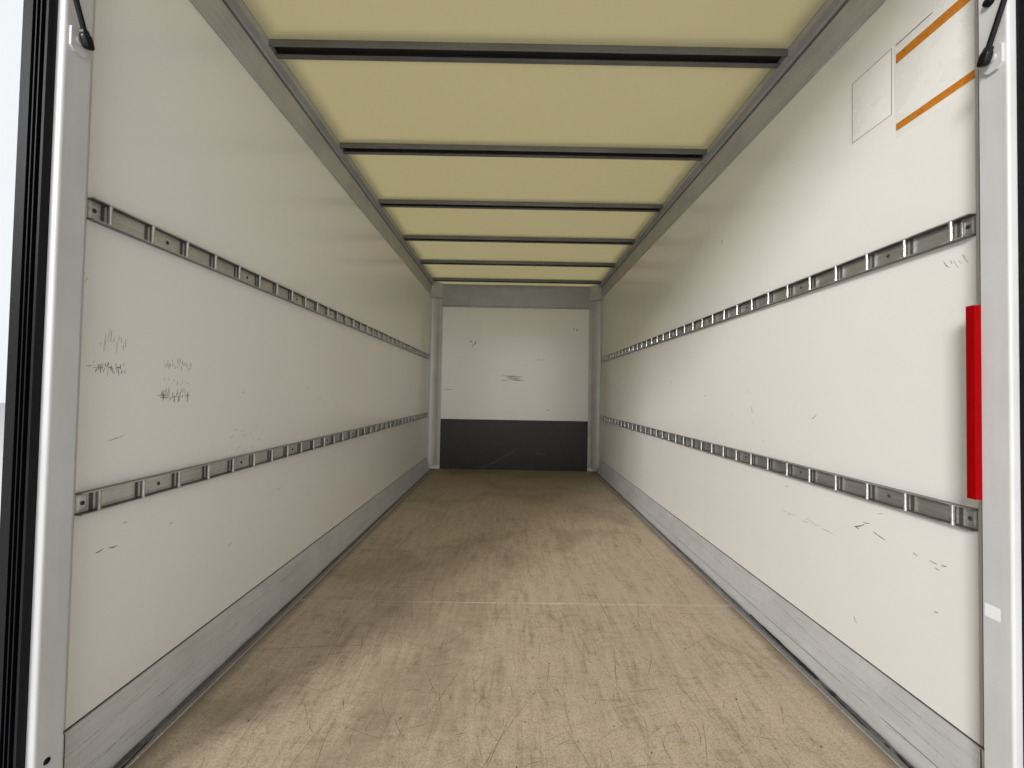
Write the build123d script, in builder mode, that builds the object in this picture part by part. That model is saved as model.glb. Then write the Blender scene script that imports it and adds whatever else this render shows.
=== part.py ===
from build123d import *
import math
import os

# Load box body of a light box truck, in millimetres.
# X runs across with the right-hand wall at +X, Y runs forwards to the cab, Z is up.
# The origin is at the middle of the whole body's footprint, on the ground it stands on.
# Heights named "above_floor" are counted from the top of the load floor, and lengths
# named "from_rear" from the rear face of the portal.

# Load space between its inner faces
inside_width = 2055
inside_length = 4100
inside_height = 2234

# Panels
wall_thickness = 25
roof_skin = 3
floor_thickness = 18
edge_flange = 7.5  # what the corner extrusions add outside the wall's skin
metal = 3  # wall of the hollow extrusions

# Underbody
runner_height = 100
runner_width = 50
runner_wall = 5
runner_outer_spacing = 830
bearer_height = 60
bearer_width = 40
bearer_wall = 4
bearer_count = 8
side_rail_width = 75
skirt_above_floor = 60

# Consoles that bolt the runners to a chassis
console_length = 120
console_height = 86
console_flange = 60
console_plate = 8
console_hole_spacing = 70
console_hole_radius = 6.5
console_hole_inset = 32  # from the runner's face
console_count = 3
first_console_from_rear = 600
last_console_from_front = 600

# Rear portal
portal_depth = 52
portal_step = 51.5  # how far the posts stand proud of the walls inside
header_drop = 104  # lower edge of the portal's header, below the roof skin
roof_edge_rise = 7  # top of the roof's edge over the roof skin's underside
wall_flange_cover = 48  # how far the posts' outer flanges lap the walls
portal_corner_radius = 5

# Rubber seal on the portal
seal_width = 66
seal_base = 5
seal_height = 15
seal_top_width = 50
seal_gap = 1
seal_bulb_width = 14  # at its base, along the opening's edge
seal_bulb_slope = 4
seal_bulb_crown = 5
seal_bulb_dip = 2  # of the bulb's crown, below the lips' edges
seal_lip_count = 3
seal_lip_pitch = 9
seal_lip_thickness = 2
seal_middle_lip = 26  # from the opening's edge

# Front end
post_web = 30
post_cove_side = 105  # along the side wall
post_cove_front = 140.5  # along the front wall
post_lip = 6
post_lip_width = 16
post_bead = 10
post_cove_radius = 160
post_outer_radius = 40
post_flange_side = 112
post_flange_front = 100
post_foot_above_floor = 45
post_drop = 179  # top of the corner posts, below the roof skin
front_header_drop = 277
front_header_depth = 32
front_header_recess = 10  # its depth over the level of the roof bows' undersides
front_header_foot_depth = 14
front_header_bead = 3  # how far its foot's bead stands out
front_header_bead_height = 10
front_kick_height = 600
front_kick_thickness = 12
edge_drop = 66  # outer flange of the roof's edge, below the wall's top line
roof_edge_radius = 15

# Cant rails between wall and roof
cant_drop = 150  # lower edge, below the roof skin
cant_lip_width = 55.5
cant_lip_flat = 26  # flat underside of the lip
cant_lip_chamfer = 5.5
cant_lip_chamfer_drop = 3
cant_throat_depth = 19  # the hollow line just over the walls' top
cant_throat_rise = 2
cant_ridge_depth = 25  # the ridge just under the walls' top
cant_ridge_drop = 9
cant_foot_depth = 7
cant_foot_edge = 4  # height of the foot's flat edge
cant_foot_bead = 2
cant_foot_waist = 1
cant_foot_height = 12
cant_chamber_depth = 6  # at its lower end
cant_chamber_rise = 22  # from the rail's lower edge
cant_chamber_cut = 14  # where it is widest, below the walls' top
wall_top_drop = 44  # top of the walls, below the roof skin
skin_overlap = 10  # how far the roof skin lies on the rail, outside the wall's face

# Roof bows, open downwards, as high as the cant rails' lips that they butt on
bow_width = 60
bow_height = 28
bow_wall = 3
bow_lip = 22  # along the front edge only
bow_count = 6
first_bow_from_rear = 700
last_bow_from_front = 247

# Floor boards
board_joint_from_rear = 985
board_joint_gap = 2

# Kick plates along the walls
kick_height = 149
kick_top_thickness = 6
kick_foot_depth = 38.5  # the sloping face's lower end, from the wall
kick_foot_height = 8
kick_strip_width = 73  # low strip on the floor, from the wall to its edge
kick_strip_edge = 2.5
kick_strip_height = 4
kick_groove_width = 2.5  # between the face's foot and the strip
kick_groove_height = 1.5
kick_joint = 1.5

# Lashing rails
rail_height = 51
rail_depth = 19
rail_wall = 2.5
lower_rail_above_floor = 654.5
upper_rail_above_floor = 1333.5
rail_start_from_rear = 105
rail_front_gap = 10  # to the front corner post
bar_diameter = 8
bar_sides = 8
bar_setback = 0.5  # behind the rail's open face
bar_pitch = 116.5
first_bar_from_rear = 146

# Red strip behind the right-hand post
strip_height = 421
strip_bottom_above_floor = 713
strip_thickness = 20
strip_width = 62
strip_proud = 15  # inboard of the post's face
strip_radius = 6

# Top-hinged rear flap, shown open
flap_drop = 695
flap_thickness = 30
flap_frame_width = 32
flap_side_inset = 3
flap_panel_recess = 3
flap_open_rise = 8  # degrees above level
flap_edge_gap = 16  # from the hinge axis to the flap's edge
seal_clearance = 5
hinge_below_top = 22
hinge_barrel_radius = 10
hinge_pin_radius = 5
pin_clearance = 0.1
hinge_count = 4
hinge_from_post = 116
pin_facets = 12  # sides of the pins and of what turns on them
hinge_fixed_length = 40
hinge_leaf_length = 36
hinge_side_gap = 0.5
hinge_leaf_thickness = 5
hinge_leaf_reach = 84
hinge_plate = 6
hinge_plate_width = 80
hinge_plate_height = 40

# Gas struts
strut_inset = 21  # strut's centre line inboard of the post's face
strut_foot_from_rear = 23
strut_foot_drop = 579  # below the roof skin
strut_lug_along = 135  # from the hinge axis along the flap
strut_lug_standoff = 45  # from the flap's middle plane
strut_tube_radius = 11
strut_tube_length = 345
strut_rod_radius = 5
strut_rod_clearance = 0.3
strut_rod_inside = 60
strut_bore_depth = 225
strut_end_length = 32
strut_eye_radius = 13
strut_eye_width = 22
strut_pin_radius = 5
strut_side_gap = 0.3
lug_plate = 5
lug_base_length = 70
lug_base_width = 34
foot_plate = 6
foot_width = 34
foot_length = 56
foot_stud_radius = 8

# Marker lamps, width by height by how far they stand out
lamp_width = 90
lamp_height = 36
lamp_proud = 12
lamp_taper = 15
side_lamp_count = 3
first_side_lamp_from_rear = 700
last_side_lamp_from_front = 600
end_lamp_below_top = 70

# Worked out from the sizes above
half_width = inside_width / 2
skin_x = half_width + wall_thickness
outer_x = skin_x + edge_flange
post_x = half_width - portal_step
runner_x = runner_outer_spacing / 2
rail_inner_x = outer_x - side_rail_width
frame_z = runner_height
deck_bottom_z = frame_z + bearer_height
floor_z = deck_bottom_z + floor_thickness
roof_z = floor_z + inside_height
top_z = roof_z + roof_edge_rise
front_reach = inside_length + wall_thickness + edge_flange
wall_top_above_floor = inside_height - wall_top_drop
post_top_above_floor = inside_height - post_drop
rail_levels = [lower_rail_above_floor, upper_rail_above_floor]

rise = math.radians(flap_open_rise)
hinge_behind_portal = seal_height + seal_clearance + flap_thickness / 2
flap_length = flap_edge_gap + flap_drop
flap_reach = (
    hinge_behind_portal
    + flap_length * math.cos(rise)
    + flap_thickness / 2 * math.sin(rise)
)
portal_y = (flap_reach - front_reach) / 2
hinge_y = portal_y - hinge_behind_portal
hinge_z = top_z - hinge_below_top


def along(from_rear):
    # Y of a length counted from the rear face of the portal
    return portal_y + from_rear


def above(above_floor):
    # Z of a height counted from the top of the load floor
    return floor_z + above_floor


def evenly(first, last, count):
    # Places at even steps from first to last
    return [first + (last - first) * number / (count - 1) for number in range(count)]


def across_at(from_rear):
    # An upright plane across the body, with local axes X and Z, facing rearwards
    return Plane((0, along(from_rear), 0), x_dir=(1, 0, 0), z_dir=(0, -1, 0))


os.makedirs("parts", exist_ok=True)
pieces = []


def keep(piece, label):
    # Label a finished piece and put it on the list of pieces to write
    piece.part.label = label
    pieces.append(piece.part)


# Subframe runners, channels open towards the middle
with BuildPart() as runner_right:
    with BuildSketch(across_at(0)):
        with Locations((runner_x, 0)):
            Rectangle(runner_width, runner_height, align=(Align.MAX, Align.MIN))
        with Locations((runner_x - runner_wall, runner_wall)):
            Rectangle(
                runner_width,
                runner_height - 2 * runner_wall,
                align=(Align.MAX, Align.MIN),
                mode=Mode.SUBTRACT,
            )
    extrude(amount=-front_reach)
keep(runner_right, "runner_right")

with BuildPart() as runner_left:
    mirror(runner_right.part, about=Plane.YZ)
keep(runner_left, "runner_left")

# Cross bearers, channels that lie on the runners between the side rails
bearer_room = inside_length + edge_flange + wall_thickness - side_rail_width - portal_depth
bearer_spacing = bearer_room / (bearer_count + 1)
bearer_places = [
    portal_depth + bearer_spacing * (number + 1) for number in range(bearer_count)
]
with BuildPart() as cross_bearers:
    for place in bearer_places:
        with BuildSketch(Plane.YZ.offset(-rail_inner_x)):
            with Locations((along(place), frame_z)):
                Rectangle(bearer_width, bearer_height, align=(Align.CENTER, Align.MIN))
            with Locations((along(place) + bearer_wall, frame_z + bearer_wall)):
                Rectangle(
                    bearer_width,
                    bearer_height - 2 * bearer_wall,
                    align=(Align.CENTER, Align.MIN),
                    mode=Mode.SUBTRACT,
                )
        extrude(amount=2 * rail_inner_x)
keep(cross_bearers, "cross_bearers")

# Chassis consoles, angle brackets on the runners' outer faces
console_places = evenly(
    first_console_from_rear,
    inside_length - last_console_from_front,
    console_count,
)
with BuildPart() as chassis_consoles:
    for place in console_places:
        with BuildSketch(across_at(place - console_length / 2)):
            with BuildLine():
                Polyline(
                    (runner_x, 0),
                    (runner_x + console_flange, 0),
                    (runner_x + console_flange, console_plate),
                    (runner_x + console_plate, console_plate),
                    (runner_x + console_plate, console_height),
                    (runner_x, console_height),
                    close=True,
                )
            make_face()
        extrude(amount=-console_length)
        with BuildSketch(Plane.XY):
            with Locations((runner_x + console_hole_inset, along(place))):
                with GridLocations(1, console_hole_spacing, 1, 2):
                    Circle(console_hole_radius)
        extrude(amount=console_plate, mode=Mode.SUBTRACT)
    mirror(about=Plane.YZ)
keep(chassis_consoles, "chassis_consoles")


def rail_outline(outer, inner, shelf_edge):
    # Bottom rail's section: a box under the wall's foot and a skirt outside it.
    # outer, inner and shelf_edge are across the rail, towards the outside
    return [
        (inner, frame_z),
        (outer, frame_z),
        (outer, above(skirt_above_floor)),
        (shelf_edge, above(skirt_above_floor)),
        (shelf_edge, deck_bottom_z),
        (inner, deck_bottom_z),
    ]


def rail_void(outer, inner):
    # The hollow inside the bottom rail's box
    return [
        (inner + metal, frame_z + metal),
        (outer - metal, frame_z + metal),
        (outer - metal, deck_bottom_z - metal),
        (inner + metal, deck_bottom_z - metal),
    ]


corner_from_rear = front_reach - post_outer_radius
with BuildPart() as side_rail_right:
    with BuildSketch(across_at(portal_depth)):
        with BuildLine():
            Polyline(*rail_outline(outer_x, rail_inner_x, skin_x), close=True)
        make_face()
        with BuildLine():
            Polyline(*rail_void(outer_x, rail_inner_x), close=True)
        make_face(mode=Mode.SUBTRACT)
    extrude(amount=portal_depth - corner_from_rear)
keep(side_rail_right, "side_rail_right")

with BuildPart() as side_rail_left:
    mirror(side_rail_right.part, about=Plane.YZ)
keep(side_rail_left, "side_rail_left")

# Front sill, the same section turned, its skirt running on to the corner posts
front_outer = along(front_reach)
front_inner = front_outer - side_rail_width
front_skin = front_outer - edge_flange
sill_skirt_x = outer_x - post_outer_radius
with BuildPart() as front_sill:
    with BuildSketch(Plane.YZ.offset(-rail_inner_x)):
        with BuildLine():
            Polyline(*rail_outline(front_outer, front_inner, front_skin), close=True)
        make_face()
        with BuildLine():
            Polyline(*rail_void(front_outer, front_inner), close=True)
        make_face(mode=Mode.SUBTRACT)
    extrude(amount=2 * rail_inner_x)
    with BuildSketch(Plane.YZ.offset(-sill_skirt_x)):
        with Locations((front_skin, frame_z)):
            Rectangle(
                edge_flange,
                above(skirt_above_floor) - frame_z,
                align=(Align.MIN, Align.MIN),
            )
    extrude(amount=2 * sill_skirt_x)
keep(front_sill, "front_sill")

# Rear sill, a hollow beam under the portal
with BuildPart() as rear_sill:
    with BuildSketch(Plane.YZ.offset(-outer_x)):
        with Locations((along(0), frame_z)):
            Rectangle(portal_depth, floor_z - frame_z, align=(Align.MIN, Align.MIN))
        with Locations((along(metal), frame_z + metal)):
            Rectangle(
                portal_depth - 2 * metal,
                floor_z - frame_z - 2 * metal,
                align=(Align.MIN, Align.MIN),
                mode=Mode.SUBTRACT,
            )
    extrude(amount=2 * outer_x)
keep(rear_sill, "rear_sill")

# Floor boards, rear and front of the joint across the load floor
board_spans = [
    (portal_depth, board_joint_from_rear - board_joint_gap / 2),
    (board_joint_from_rear + board_joint_gap / 2, inside_length),
]
with BuildPart() as floor_boards:
    for start, end in board_spans:
        with BuildSketch(Plane.XY.offset(deck_bottom_z)):
            with Locations((0, along(start))):
                Rectangle(inside_width, end - start, align=(Align.CENTER, Align.MIN))
        extrude(amount=floor_thickness)
keep(floor_boards, "floor_boards")

# Side walls and front wall
with BuildPart() as wall_right:
    with BuildSketch(across_at(portal_depth)):
        with Locations((half_width, deck_bottom_z)):
            Rectangle(
                wall_thickness,
                above(wall_top_above_floor) - deck_bottom_z,
                align=(Align.MIN, Align.MIN),
            )
    extrude(amount=portal_depth + post_web - inside_length)
keep(wall_right, "wall_right")

with BuildPart() as wall_left:
    mirror(wall_right.part, about=Plane.YZ)
keep(wall_left, "wall_left")

with BuildPart() as front_wall:
    with BuildSketch(across_at(inside_length)):
        with Locations((0, deck_bottom_z)):
            Rectangle(
                inside_width,
                above(wall_top_above_floor) - deck_bottom_z,
                align=(Align.CENTER, Align.MIN),
            )
    extrude(amount=-wall_thickness)
keep(front_wall, "front_wall")

cove_x = half_width - post_cove_front
with BuildPart() as front_kick_panel:
    with BuildSketch(across_at(inside_length - front_kick_thickness)):
        with Locations((0, floor_z)):
            Rectangle(2 * cove_x, front_kick_height, align=(Align.CENTER, Align.MIN))
    extrude(amount=-front_kick_thickness)
keep(front_kick_panel, "front_kick_panel")

# Front corner posts: a cove inside the corner, a hollow web between the two walls
# and flanges that lap both skins outside. Depths are counted into the load space
cove_start = along(inside_length - post_cove_side)
cove_end = along(inside_length)
corner_y = along(corner_from_rear)
flange_x = outer_x - post_flange_front
flange_y = front_outer - post_flange_side
lip_x = half_width - post_lip
lip_y = cove_end - post_lip
bead_start = cove_start + post_lip_width
bead_x = cove_x + post_lip_width
with BuildPart() as front_post_right:
    with BuildSketch(Plane.XY.offset(frame_z)):
        with BuildLine():
            side_lip = Polyline(
                (half_width, cove_start),
                (lip_x, cove_start),
                (lip_x, bead_start),
                (lip_x - post_bead, bead_start + post_lip),
                (lip_x - post_bead, bead_start + 3 * post_lip),
            )
            front_lip = Polyline(
                (bead_x + 3 * post_lip, lip_y - post_bead),
                (bead_x + post_lip, lip_y - post_bead),
                (bead_x, lip_y),
                (cove_x, lip_y),
                (cove_x, cove_end),
                (half_width, cove_end),
                (half_width, front_skin),
                (flange_x, front_skin),
                (flange_x, front_outer),
                (outer_x - post_outer_radius, front_outer),
            )
            RadiusArc(front_lip @ 1, (outer_x, corner_y), post_outer_radius)
            Polyline(
                (outer_x, corner_y),
                (outer_x, flange_y),
                (skin_x, flange_y),
                (skin_x, cove_end - post_web),
                (half_width, cove_end - post_web),
                (half_width, cove_start),
            )
            RadiusArc(side_lip @ 1, front_lip @ 0, post_cove_radius)
        make_face()
        # The chamber behind the cove
        chamber_y = bead_start + 4 * post_lip
        chamber_x = bead_x + 4 * post_lip
        with BuildLine():
            Polyline(
                (half_width - metal, chamber_y),
                (lip_x - metal, chamber_y),
                (lip_x - metal - post_bead, chamber_y + post_bead),
                (chamber_x, lip_y - metal),
                (chamber_x, cove_end - metal),
                (half_width - metal, cove_end - metal),
                close=True,
            )
        make_face(mode=Mode.SUBTRACT)
        with BuildLine():
            Polyline(
                (half_width + metal, cove_end - post_web + metal),
                (outer_x - metal, cove_end - post_web + metal),
                (outer_x - metal, corner_y),
                (outer_x - post_outer_radius / 3, front_outer - post_outer_radius / 3),
                (half_width + metal, front_outer - 2 * metal),
                close=True,
            )
        make_face(mode=Mode.SUBTRACT)
    extrude(amount=above(post_top_above_floor) - frame_z)
    # The foot of the cove ends above the floor, and the bottom rails pass the flanges
    with BuildSketch(Plane.XY.offset(frame_z)):
        with Locations((half_width, cove_end)):
            Rectangle(
                2 * post_cove_front,
                2 * post_cove_side,
                align=(Align.MAX, Align.MAX),
            )
    extrude(amount=above(post_foot_above_floor) - frame_z, mode=Mode.SUBTRACT)
    with BuildSketch(Plane.XY.offset(frame_z)):
        with Locations((half_width, corner_y)):
            Rectangle(
                2 * post_cove_front,
                2 * post_cove_side,
                align=(Align.MIN, Align.MAX),
            )
    extrude(amount=bearer_height, mode=Mode.SUBTRACT)
    with BuildSketch(Plane.XY.offset(frame_z)):
        with Locations((skin_x, corner_y)):
            Rectangle(
                edge_flange,
                2 * post_cove_side,
                align=(Align.MIN, Align.MAX),
            )
        with Locations((sill_skirt_x, front_skin)):
            Rectangle(
                2 * post_cove_front,
                edge_flange,
                align=(Align.MAX, Align.MIN),
            )
    extrude(amount=above(skirt_above_floor) - frame_z, mode=Mode.SUBTRACT)
keep(front_post_right, "front_post_right")

with BuildPart() as front_post_left:
    mirror(front_post_right.part, about=Plane.YZ)
keep(front_post_left, "front_post_left")

# Front roof corners: a gusset over each post inside, a rounded cap outside
wall_top = above(wall_top_above_floor)


def cap_outline(slots):
    # Plan of the roof corner, with or without the slots that hold the wall panels
    inner = [
        (half_width, cove_start),
        (half_width - front_header_depth, cove_start),
        (cove_x, cove_end - front_header_depth),
        (cove_x, cove_end),
    ]
    front_slot = [
        (half_width, cove_end),
        (half_width, front_skin),
        (cove_x, front_skin),
    ]
    outer = [
        (cove_x, front_outer),
        (outer_x, front_outer),
        (outer_x, cove_start),
    ]
    side_slot = [
        (skin_x, cove_start),
        (skin_x, cove_end - post_web),
        (half_width, cove_end - post_web),
    ]
    if slots:
        return inner + front_slot + outer + side_slot
    return inner + outer


with BuildPart() as roof_corner_right:
    with BuildSketch(Plane.XY.offset(above(post_top_above_floor))):
        with BuildLine():
            Polyline(*cap_outline(True), close=True)
        make_face()
    extrude(amount=wall_top_above_floor - post_top_above_floor)
    with BuildSketch(Plane.XY.offset(wall_top)):
        with BuildLine():
            Polyline(*cap_outline(False), close=True)
        make_face()
    extrude(amount=roof_z - wall_top)
    with BuildSketch(Plane.XY.offset(roof_z)):
        with BuildLine():
            Polyline(
                (half_width, cove_start),
                (half_width - cant_lip_width, cove_start),
                (half_width - cant_lip_width, cove_end - front_header_depth),
                (cove_x, cove_end - front_header_depth),
                (cove_x, cove_end),
                (half_width, cove_end),
                close=True,
            )
        make_face()
    extrude(amount=-bow_height)
    with BuildSketch(Plane.XY.offset(roof_z)):
        with BuildLine():
            Polyline(
                (cove_x, cove_end + skin_overlap),
                (half_width + skin_overlap, cove_end + skin_overlap),
                (half_width + skin_overlap, cove_start),
                (outer_x, cove_start),
                (outer_x, front_outer),
                (cove_x, front_outer),
                close=True,
            )
        make_face()
    extrude(amount=roof_edge_rise)
    upright = roof_corner_right.edges().filter_by(Axis.Z)
    outermost = upright.filter_by_position(Axis.X, outer_x - metal, outer_x)
    fillet(outermost.sort_by(Axis.Y)[-1], post_outer_radius)
    brim = roof_corner_right.edges().group_by(Axis.Z)[-1]
    fillet(
        brim.filter_by(GeomType.CIRCLE)
        + brim.filter_by_position(Axis.X, skin_x, outer_x)
        + brim.filter_by_position(Axis.Y, front_skin, front_outer),
        roof_edge_radius,
    )
keep(roof_corner_right, "roof_corner_right")

with BuildPart() as roof_corner_left:
    mirror(roof_corner_right.part, about=Plane.YZ)
keep(roof_corner_left, "roof_corner_left")


def roof_edge_outline(inner_face):
    # Section of the roof's edge: inner_face runs down from the roof skin to the wall.
    # Both values are (depth into the load space, Z)
    return [
        (-skin_overlap, roof_z),
        (-skin_overlap, top_z),
        (-wall_thickness - edge_flange, top_z),
        (-wall_thickness - edge_flange, wall_top - edge_drop),
        (-wall_thickness, wall_top - edge_drop),
        (-wall_thickness, wall_top),
        (0, wall_top),
    ] + inner_face[::-1]


def roof_edge_void(inner_side):
    # The hollow over the wall's top, closed on the inside by inner_side, which runs down
    outside = metal - wall_thickness - edge_flange
    return [
        (outside, wall_top + metal),
        (outside, top_z - roof_edge_radius),
        (outside + roof_edge_radius, top_z - metal),
        (-skin_overlap - metal, top_z - metal),
        (-skin_overlap - metal, roof_z - metal),
    ] + inner_side


# Cant rails
cant_bottom = roof_z - cant_drop
lip_bottom = roof_z - bow_height
lip_inner = cant_lip_width - cant_lip_flat
cant_face = [
    (cant_lip_width, roof_z),
    (cant_lip_width, lip_bottom),
    (lip_inner, lip_bottom),
    (lip_inner - cant_lip_chamfer, lip_bottom - cant_lip_chamfer_drop),
    (cant_throat_depth, wall_top + cant_throat_rise),
    (cant_ridge_depth, wall_top - cant_ridge_drop),
    (cant_foot_depth + cant_foot_waist, cant_bottom + cant_foot_height),
    (cant_foot_depth + cant_foot_bead, cant_bottom + cant_foot_edge),
    (cant_foot_depth, cant_bottom),
    (0, cant_bottom),
]
cant_hollow = [
    (cant_lip_width - metal, roof_z - metal),
    (cant_lip_width - metal, lip_bottom + metal),
    (cant_throat_depth - metal, lip_bottom + metal),
    (cant_throat_depth - metal, wall_top + metal),
]
cant_chamber = [
    (metal, cant_bottom + cant_chamber_rise),
    (cant_chamber_depth, cant_bottom + cant_chamber_rise),
    (cant_ridge_depth - 2 * metal, wall_top - cant_chamber_cut),
    (cant_throat_depth - metal, wall_top - metal),
    (metal, wall_top - metal),
]
with BuildPart() as cant_rail_right:
    with BuildSketch(Plane.XZ.offset(-along(portal_depth))):
        with BuildLine():
            Polyline(
                *[(half_width - u, z) for u, z in roof_edge_outline(cant_face)],
                close=True,
            )
        make_face()
        fillet(
            vertices().sort_by_distance((outer_x, top_z))[:1],
            roof_edge_radius,
        )
        for void in (roof_edge_void(cant_hollow), cant_chamber):
            with BuildLine():
                Polyline(*[(half_width - u, z) for u, z in void], close=True)
            make_face(mode=Mode.SUBTRACT)
    extrude(amount=along(portal_depth) - cove_start)
keep(cant_rail_right, "cant_rail_right")

with BuildPart() as cant_rail_left:
    mirror(cant_rail_right.part, about=Plane.YZ)
keep(cant_rail_left, "cant_rail_left")

# Front header
header_bottom = roof_z - front_header_drop
header_waist = header_bottom + 2 * front_header_bead_height
header_face = [
    (front_header_recess, roof_z),
    (front_header_recess, lip_bottom),
    (front_header_depth, lip_bottom),
    (front_header_depth, wall_top),
    (front_header_foot_depth, header_waist),
    (front_header_foot_depth + front_header_bead, header_bottom + front_header_bead_height),
    (front_header_foot_depth, header_bottom),
    (0, header_bottom),
]
header_hollow = [
    (front_header_recess - metal, roof_z - metal),
    (front_header_recess - metal, lip_bottom - metal),
    (front_header_depth - metal, lip_bottom - metal),
    (front_header_depth - metal, wall_top + metal),
]
header_chamber = [
    (metal, header_waist),
    (front_header_foot_depth - metal, header_waist),
    (front_header_depth - metal, wall_top - metal),
    (metal, wall_top - metal),
]
with BuildPart() as front_header:
    with BuildSketch(Plane.YZ.offset(-cove_x)):
        with BuildLine():
            Polyline(
                *[(cove_end - u, z) for u, z in roof_edge_outline(header_face)],
                close=True,
            )
        make_face()
        fillet(
            vertices().sort_by_distance((front_outer, top_z))[:1],
            roof_edge_radius,
        )
        for void in (roof_edge_void(header_hollow), header_chamber):
            with BuildLine():
                Polyline(*[(cove_end - u, z) for u, z in void], close=True)
            make_face(mode=Mode.SUBTRACT)
    extrude(amount=2 * cove_x)
keep(front_header, "front_header")

# Translucent roof skin
with BuildPart() as roof_panel:
    with BuildSketch(Plane.XY.offset(roof_z)):
        with Locations((0, along(portal_depth))):
            Rectangle(
                inside_width + 2 * skin_overlap,
                inside_length + skin_overlap - portal_depth,
                align=(Align.CENTER, Align.MIN),
            )
    extrude(amount=roof_skin)
keep(roof_panel, "roof_panel")

# Roof bows, lipped channels under the skin, butting on the cant rails' lips
bow_end = half_width - cant_lip_width
bow_places = evenly(first_bow_from_rear, inside_length - last_bow_from_front, bow_count)
with BuildPart() as roof_bows:
    for place in bow_places:
        with BuildSketch(Plane.YZ.offset(-bow_end)):
            with Locations((along(place), roof_z)):
                Rectangle(bow_width, bow_height, align=(Align.CENTER, Align.MAX))
            with Locations((along(place), roof_z - bow_wall)):
                Rectangle(
                    bow_width - 2 * bow_wall,
                    bow_height - 2 * bow_wall,
                    align=(Align.CENTER, Align.MAX),
                    mode=Mode.SUBTRACT,
                )
            with Locations((along(place) + bow_wall - bow_width / 2, lip_bottom)):
                Rectangle(
                    bow_width - bow_wall - bow_lip,
                    2 * bow_wall,
                    align=(Align.MIN, Align.CENTER),
                    mode=Mode.SUBTRACT,
                )
        extrude(amount=2 * bow_end)
keep(roof_bows, "roof_bows")

# Rear portal: hollow posts with flanges that lap the walls' skins, and a header
with BuildPart() as rear_post_right:
    with BuildSketch(Plane.XY.offset(floor_z)):
        with Locations((post_x, along(0))):
            Rectangle(outer_x - post_x, portal_depth, align=(Align.MIN, Align.MIN))
        fillet(
            vertices().sort_by_distance((post_x, along(0)))[:1],
            portal_corner_radius,
        )
        with Locations((post_x + metal, along(metal))):
            Rectangle(
                outer_x - post_x - 2 * metal,
                portal_depth - 2 * metal,
                align=(Align.MIN, Align.MIN),
                mode=Mode.SUBTRACT,
            )
    extrude(amount=top_z - floor_z)
    with BuildSketch(Plane.XY.offset(above(skirt_above_floor))):
        with Locations((skin_x, along(portal_depth))):
            Rectangle(edge_flange, wall_flange_cover, align=(Align.MIN, Align.MIN))
    extrude(amount=wall_top - edge_drop - above(skirt_above_floor))
keep(rear_post_right, "rear_post_right")

with BuildPart() as rear_post_left:
    mirror(rear_post_right.part, about=Plane.YZ)
keep(rear_post_left, "rear_post_left")

portal_top_bottom = roof_z - header_drop
with BuildPart() as rear_header:
    with BuildSketch(Plane.YZ.offset(-post_x)):
        with Locations((along(0), portal_top_bottom)):
            Rectangle(
                portal_depth,
                top_z - portal_top_bottom,
                align=(Align.MIN, Align.MIN),
            )
        with Locations((along(metal), portal_top_bottom + metal)):
            Rectangle(
                portal_depth - 2 * metal,
                top_z - portal_top_bottom - 2 * metal,
                align=(Align.MIN, Align.MIN),
                mode=Mode.SUBTRACT,
            )
    extrude(amount=2 * post_x)
keep(rear_header, "rear_header")

# Rubber seals on the portal: a soft bulb at the opening's edge and three thin lips
seal_x = outer_x - seal_gap - seal_width
bulb_crown_x = seal_x + seal_bulb_slope + seal_bulb_crown
with BuildPart() as portal_seals:
    with BuildSketch(Plane.XY.offset(floor_z)):
        with Locations((seal_x, along(0))):
            Rectangle(seal_width, seal_base, align=(Align.MIN, Align.MAX))
        with BuildLine():
            Polyline(
                (seal_x, along(0)),
                (seal_x, along(-seal_base)),
                (seal_x + seal_bulb_slope, along(seal_bulb_dip - seal_height)),
                (bulb_crown_x, along(seal_bulb_dip - seal_height)),
                (seal_x + seal_bulb_width, along(-seal_base)),
                (seal_x + seal_bulb_width, along(0)),
                close=True,
            )
        make_face()
        with Locations((seal_x + seal_middle_lip, along(-seal_base))):
            with GridLocations(seal_lip_pitch, 1, seal_lip_count, 1):
                Rectangle(
                    seal_lip_thickness,
                    seal_height - seal_base,
                    align=(Align.CENTER, Align.MAX),
                )
    extrude(amount=top_z - floor_z)
    mirror(about=Plane.YZ)
    with BuildSketch(Plane.YZ.offset(-seal_x + seal_gap)):
        with Locations((along(0), portal_top_bottom + seal_gap)):
            Rectangle(seal_base, seal_top_width, align=(Align.MAX, Align.MIN))
            with Locations((-seal_base, seal_top_width / 2)):
                with GridLocations(1, seal_lip_pitch, 1, seal_lip_count):
                    Rectangle(
                        seal_height - seal_base,
                        seal_lip_thickness,
                        align=(Align.MAX, Align.CENTER),
                    )
    extrude(amount=2 * (seal_x - seal_gap))
keep(portal_seals, "portal_seals")

# Kick plates: a sloping face, nearly flush with the wall at its top, a groove along
# its foot and a low strip on the floor
kick_start = along(portal_depth + kick_joint)
groove_end = kick_foot_depth + kick_groove_width
kick_section = [
    (0, 0),
    (kick_strip_width, 0),
    (kick_strip_width, kick_strip_edge),
    (groove_end, kick_strip_height),
    (groove_end, kick_groove_height),
    (kick_foot_depth, kick_groove_height),
    (kick_foot_depth, kick_foot_height),
    (kick_top_thickness, kick_height),
    (0, kick_height),
]
kick_hollow = [
    (metal, 2 * metal),
    (kick_foot_depth - metal, 2 * metal),
    (2 * metal, kick_height - 4 * metal),
    (metal, kick_height - 4 * metal),
]
with BuildPart() as kick_plate_right:
    with BuildSketch(Plane.XZ.offset(-kick_start)):
        with BuildLine():
            Polyline(*[(half_width - u, above(v)) for u, v in kick_section], close=True)
        make_face()
        with BuildLine():
            Polyline(*[(half_width - u, above(v)) for u, v in kick_hollow], close=True)
        make_face(mode=Mode.SUBTRACT)
    extrude(amount=kick_start - cove_start)
keep(kick_plate_right, "kick_plate_right")

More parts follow.
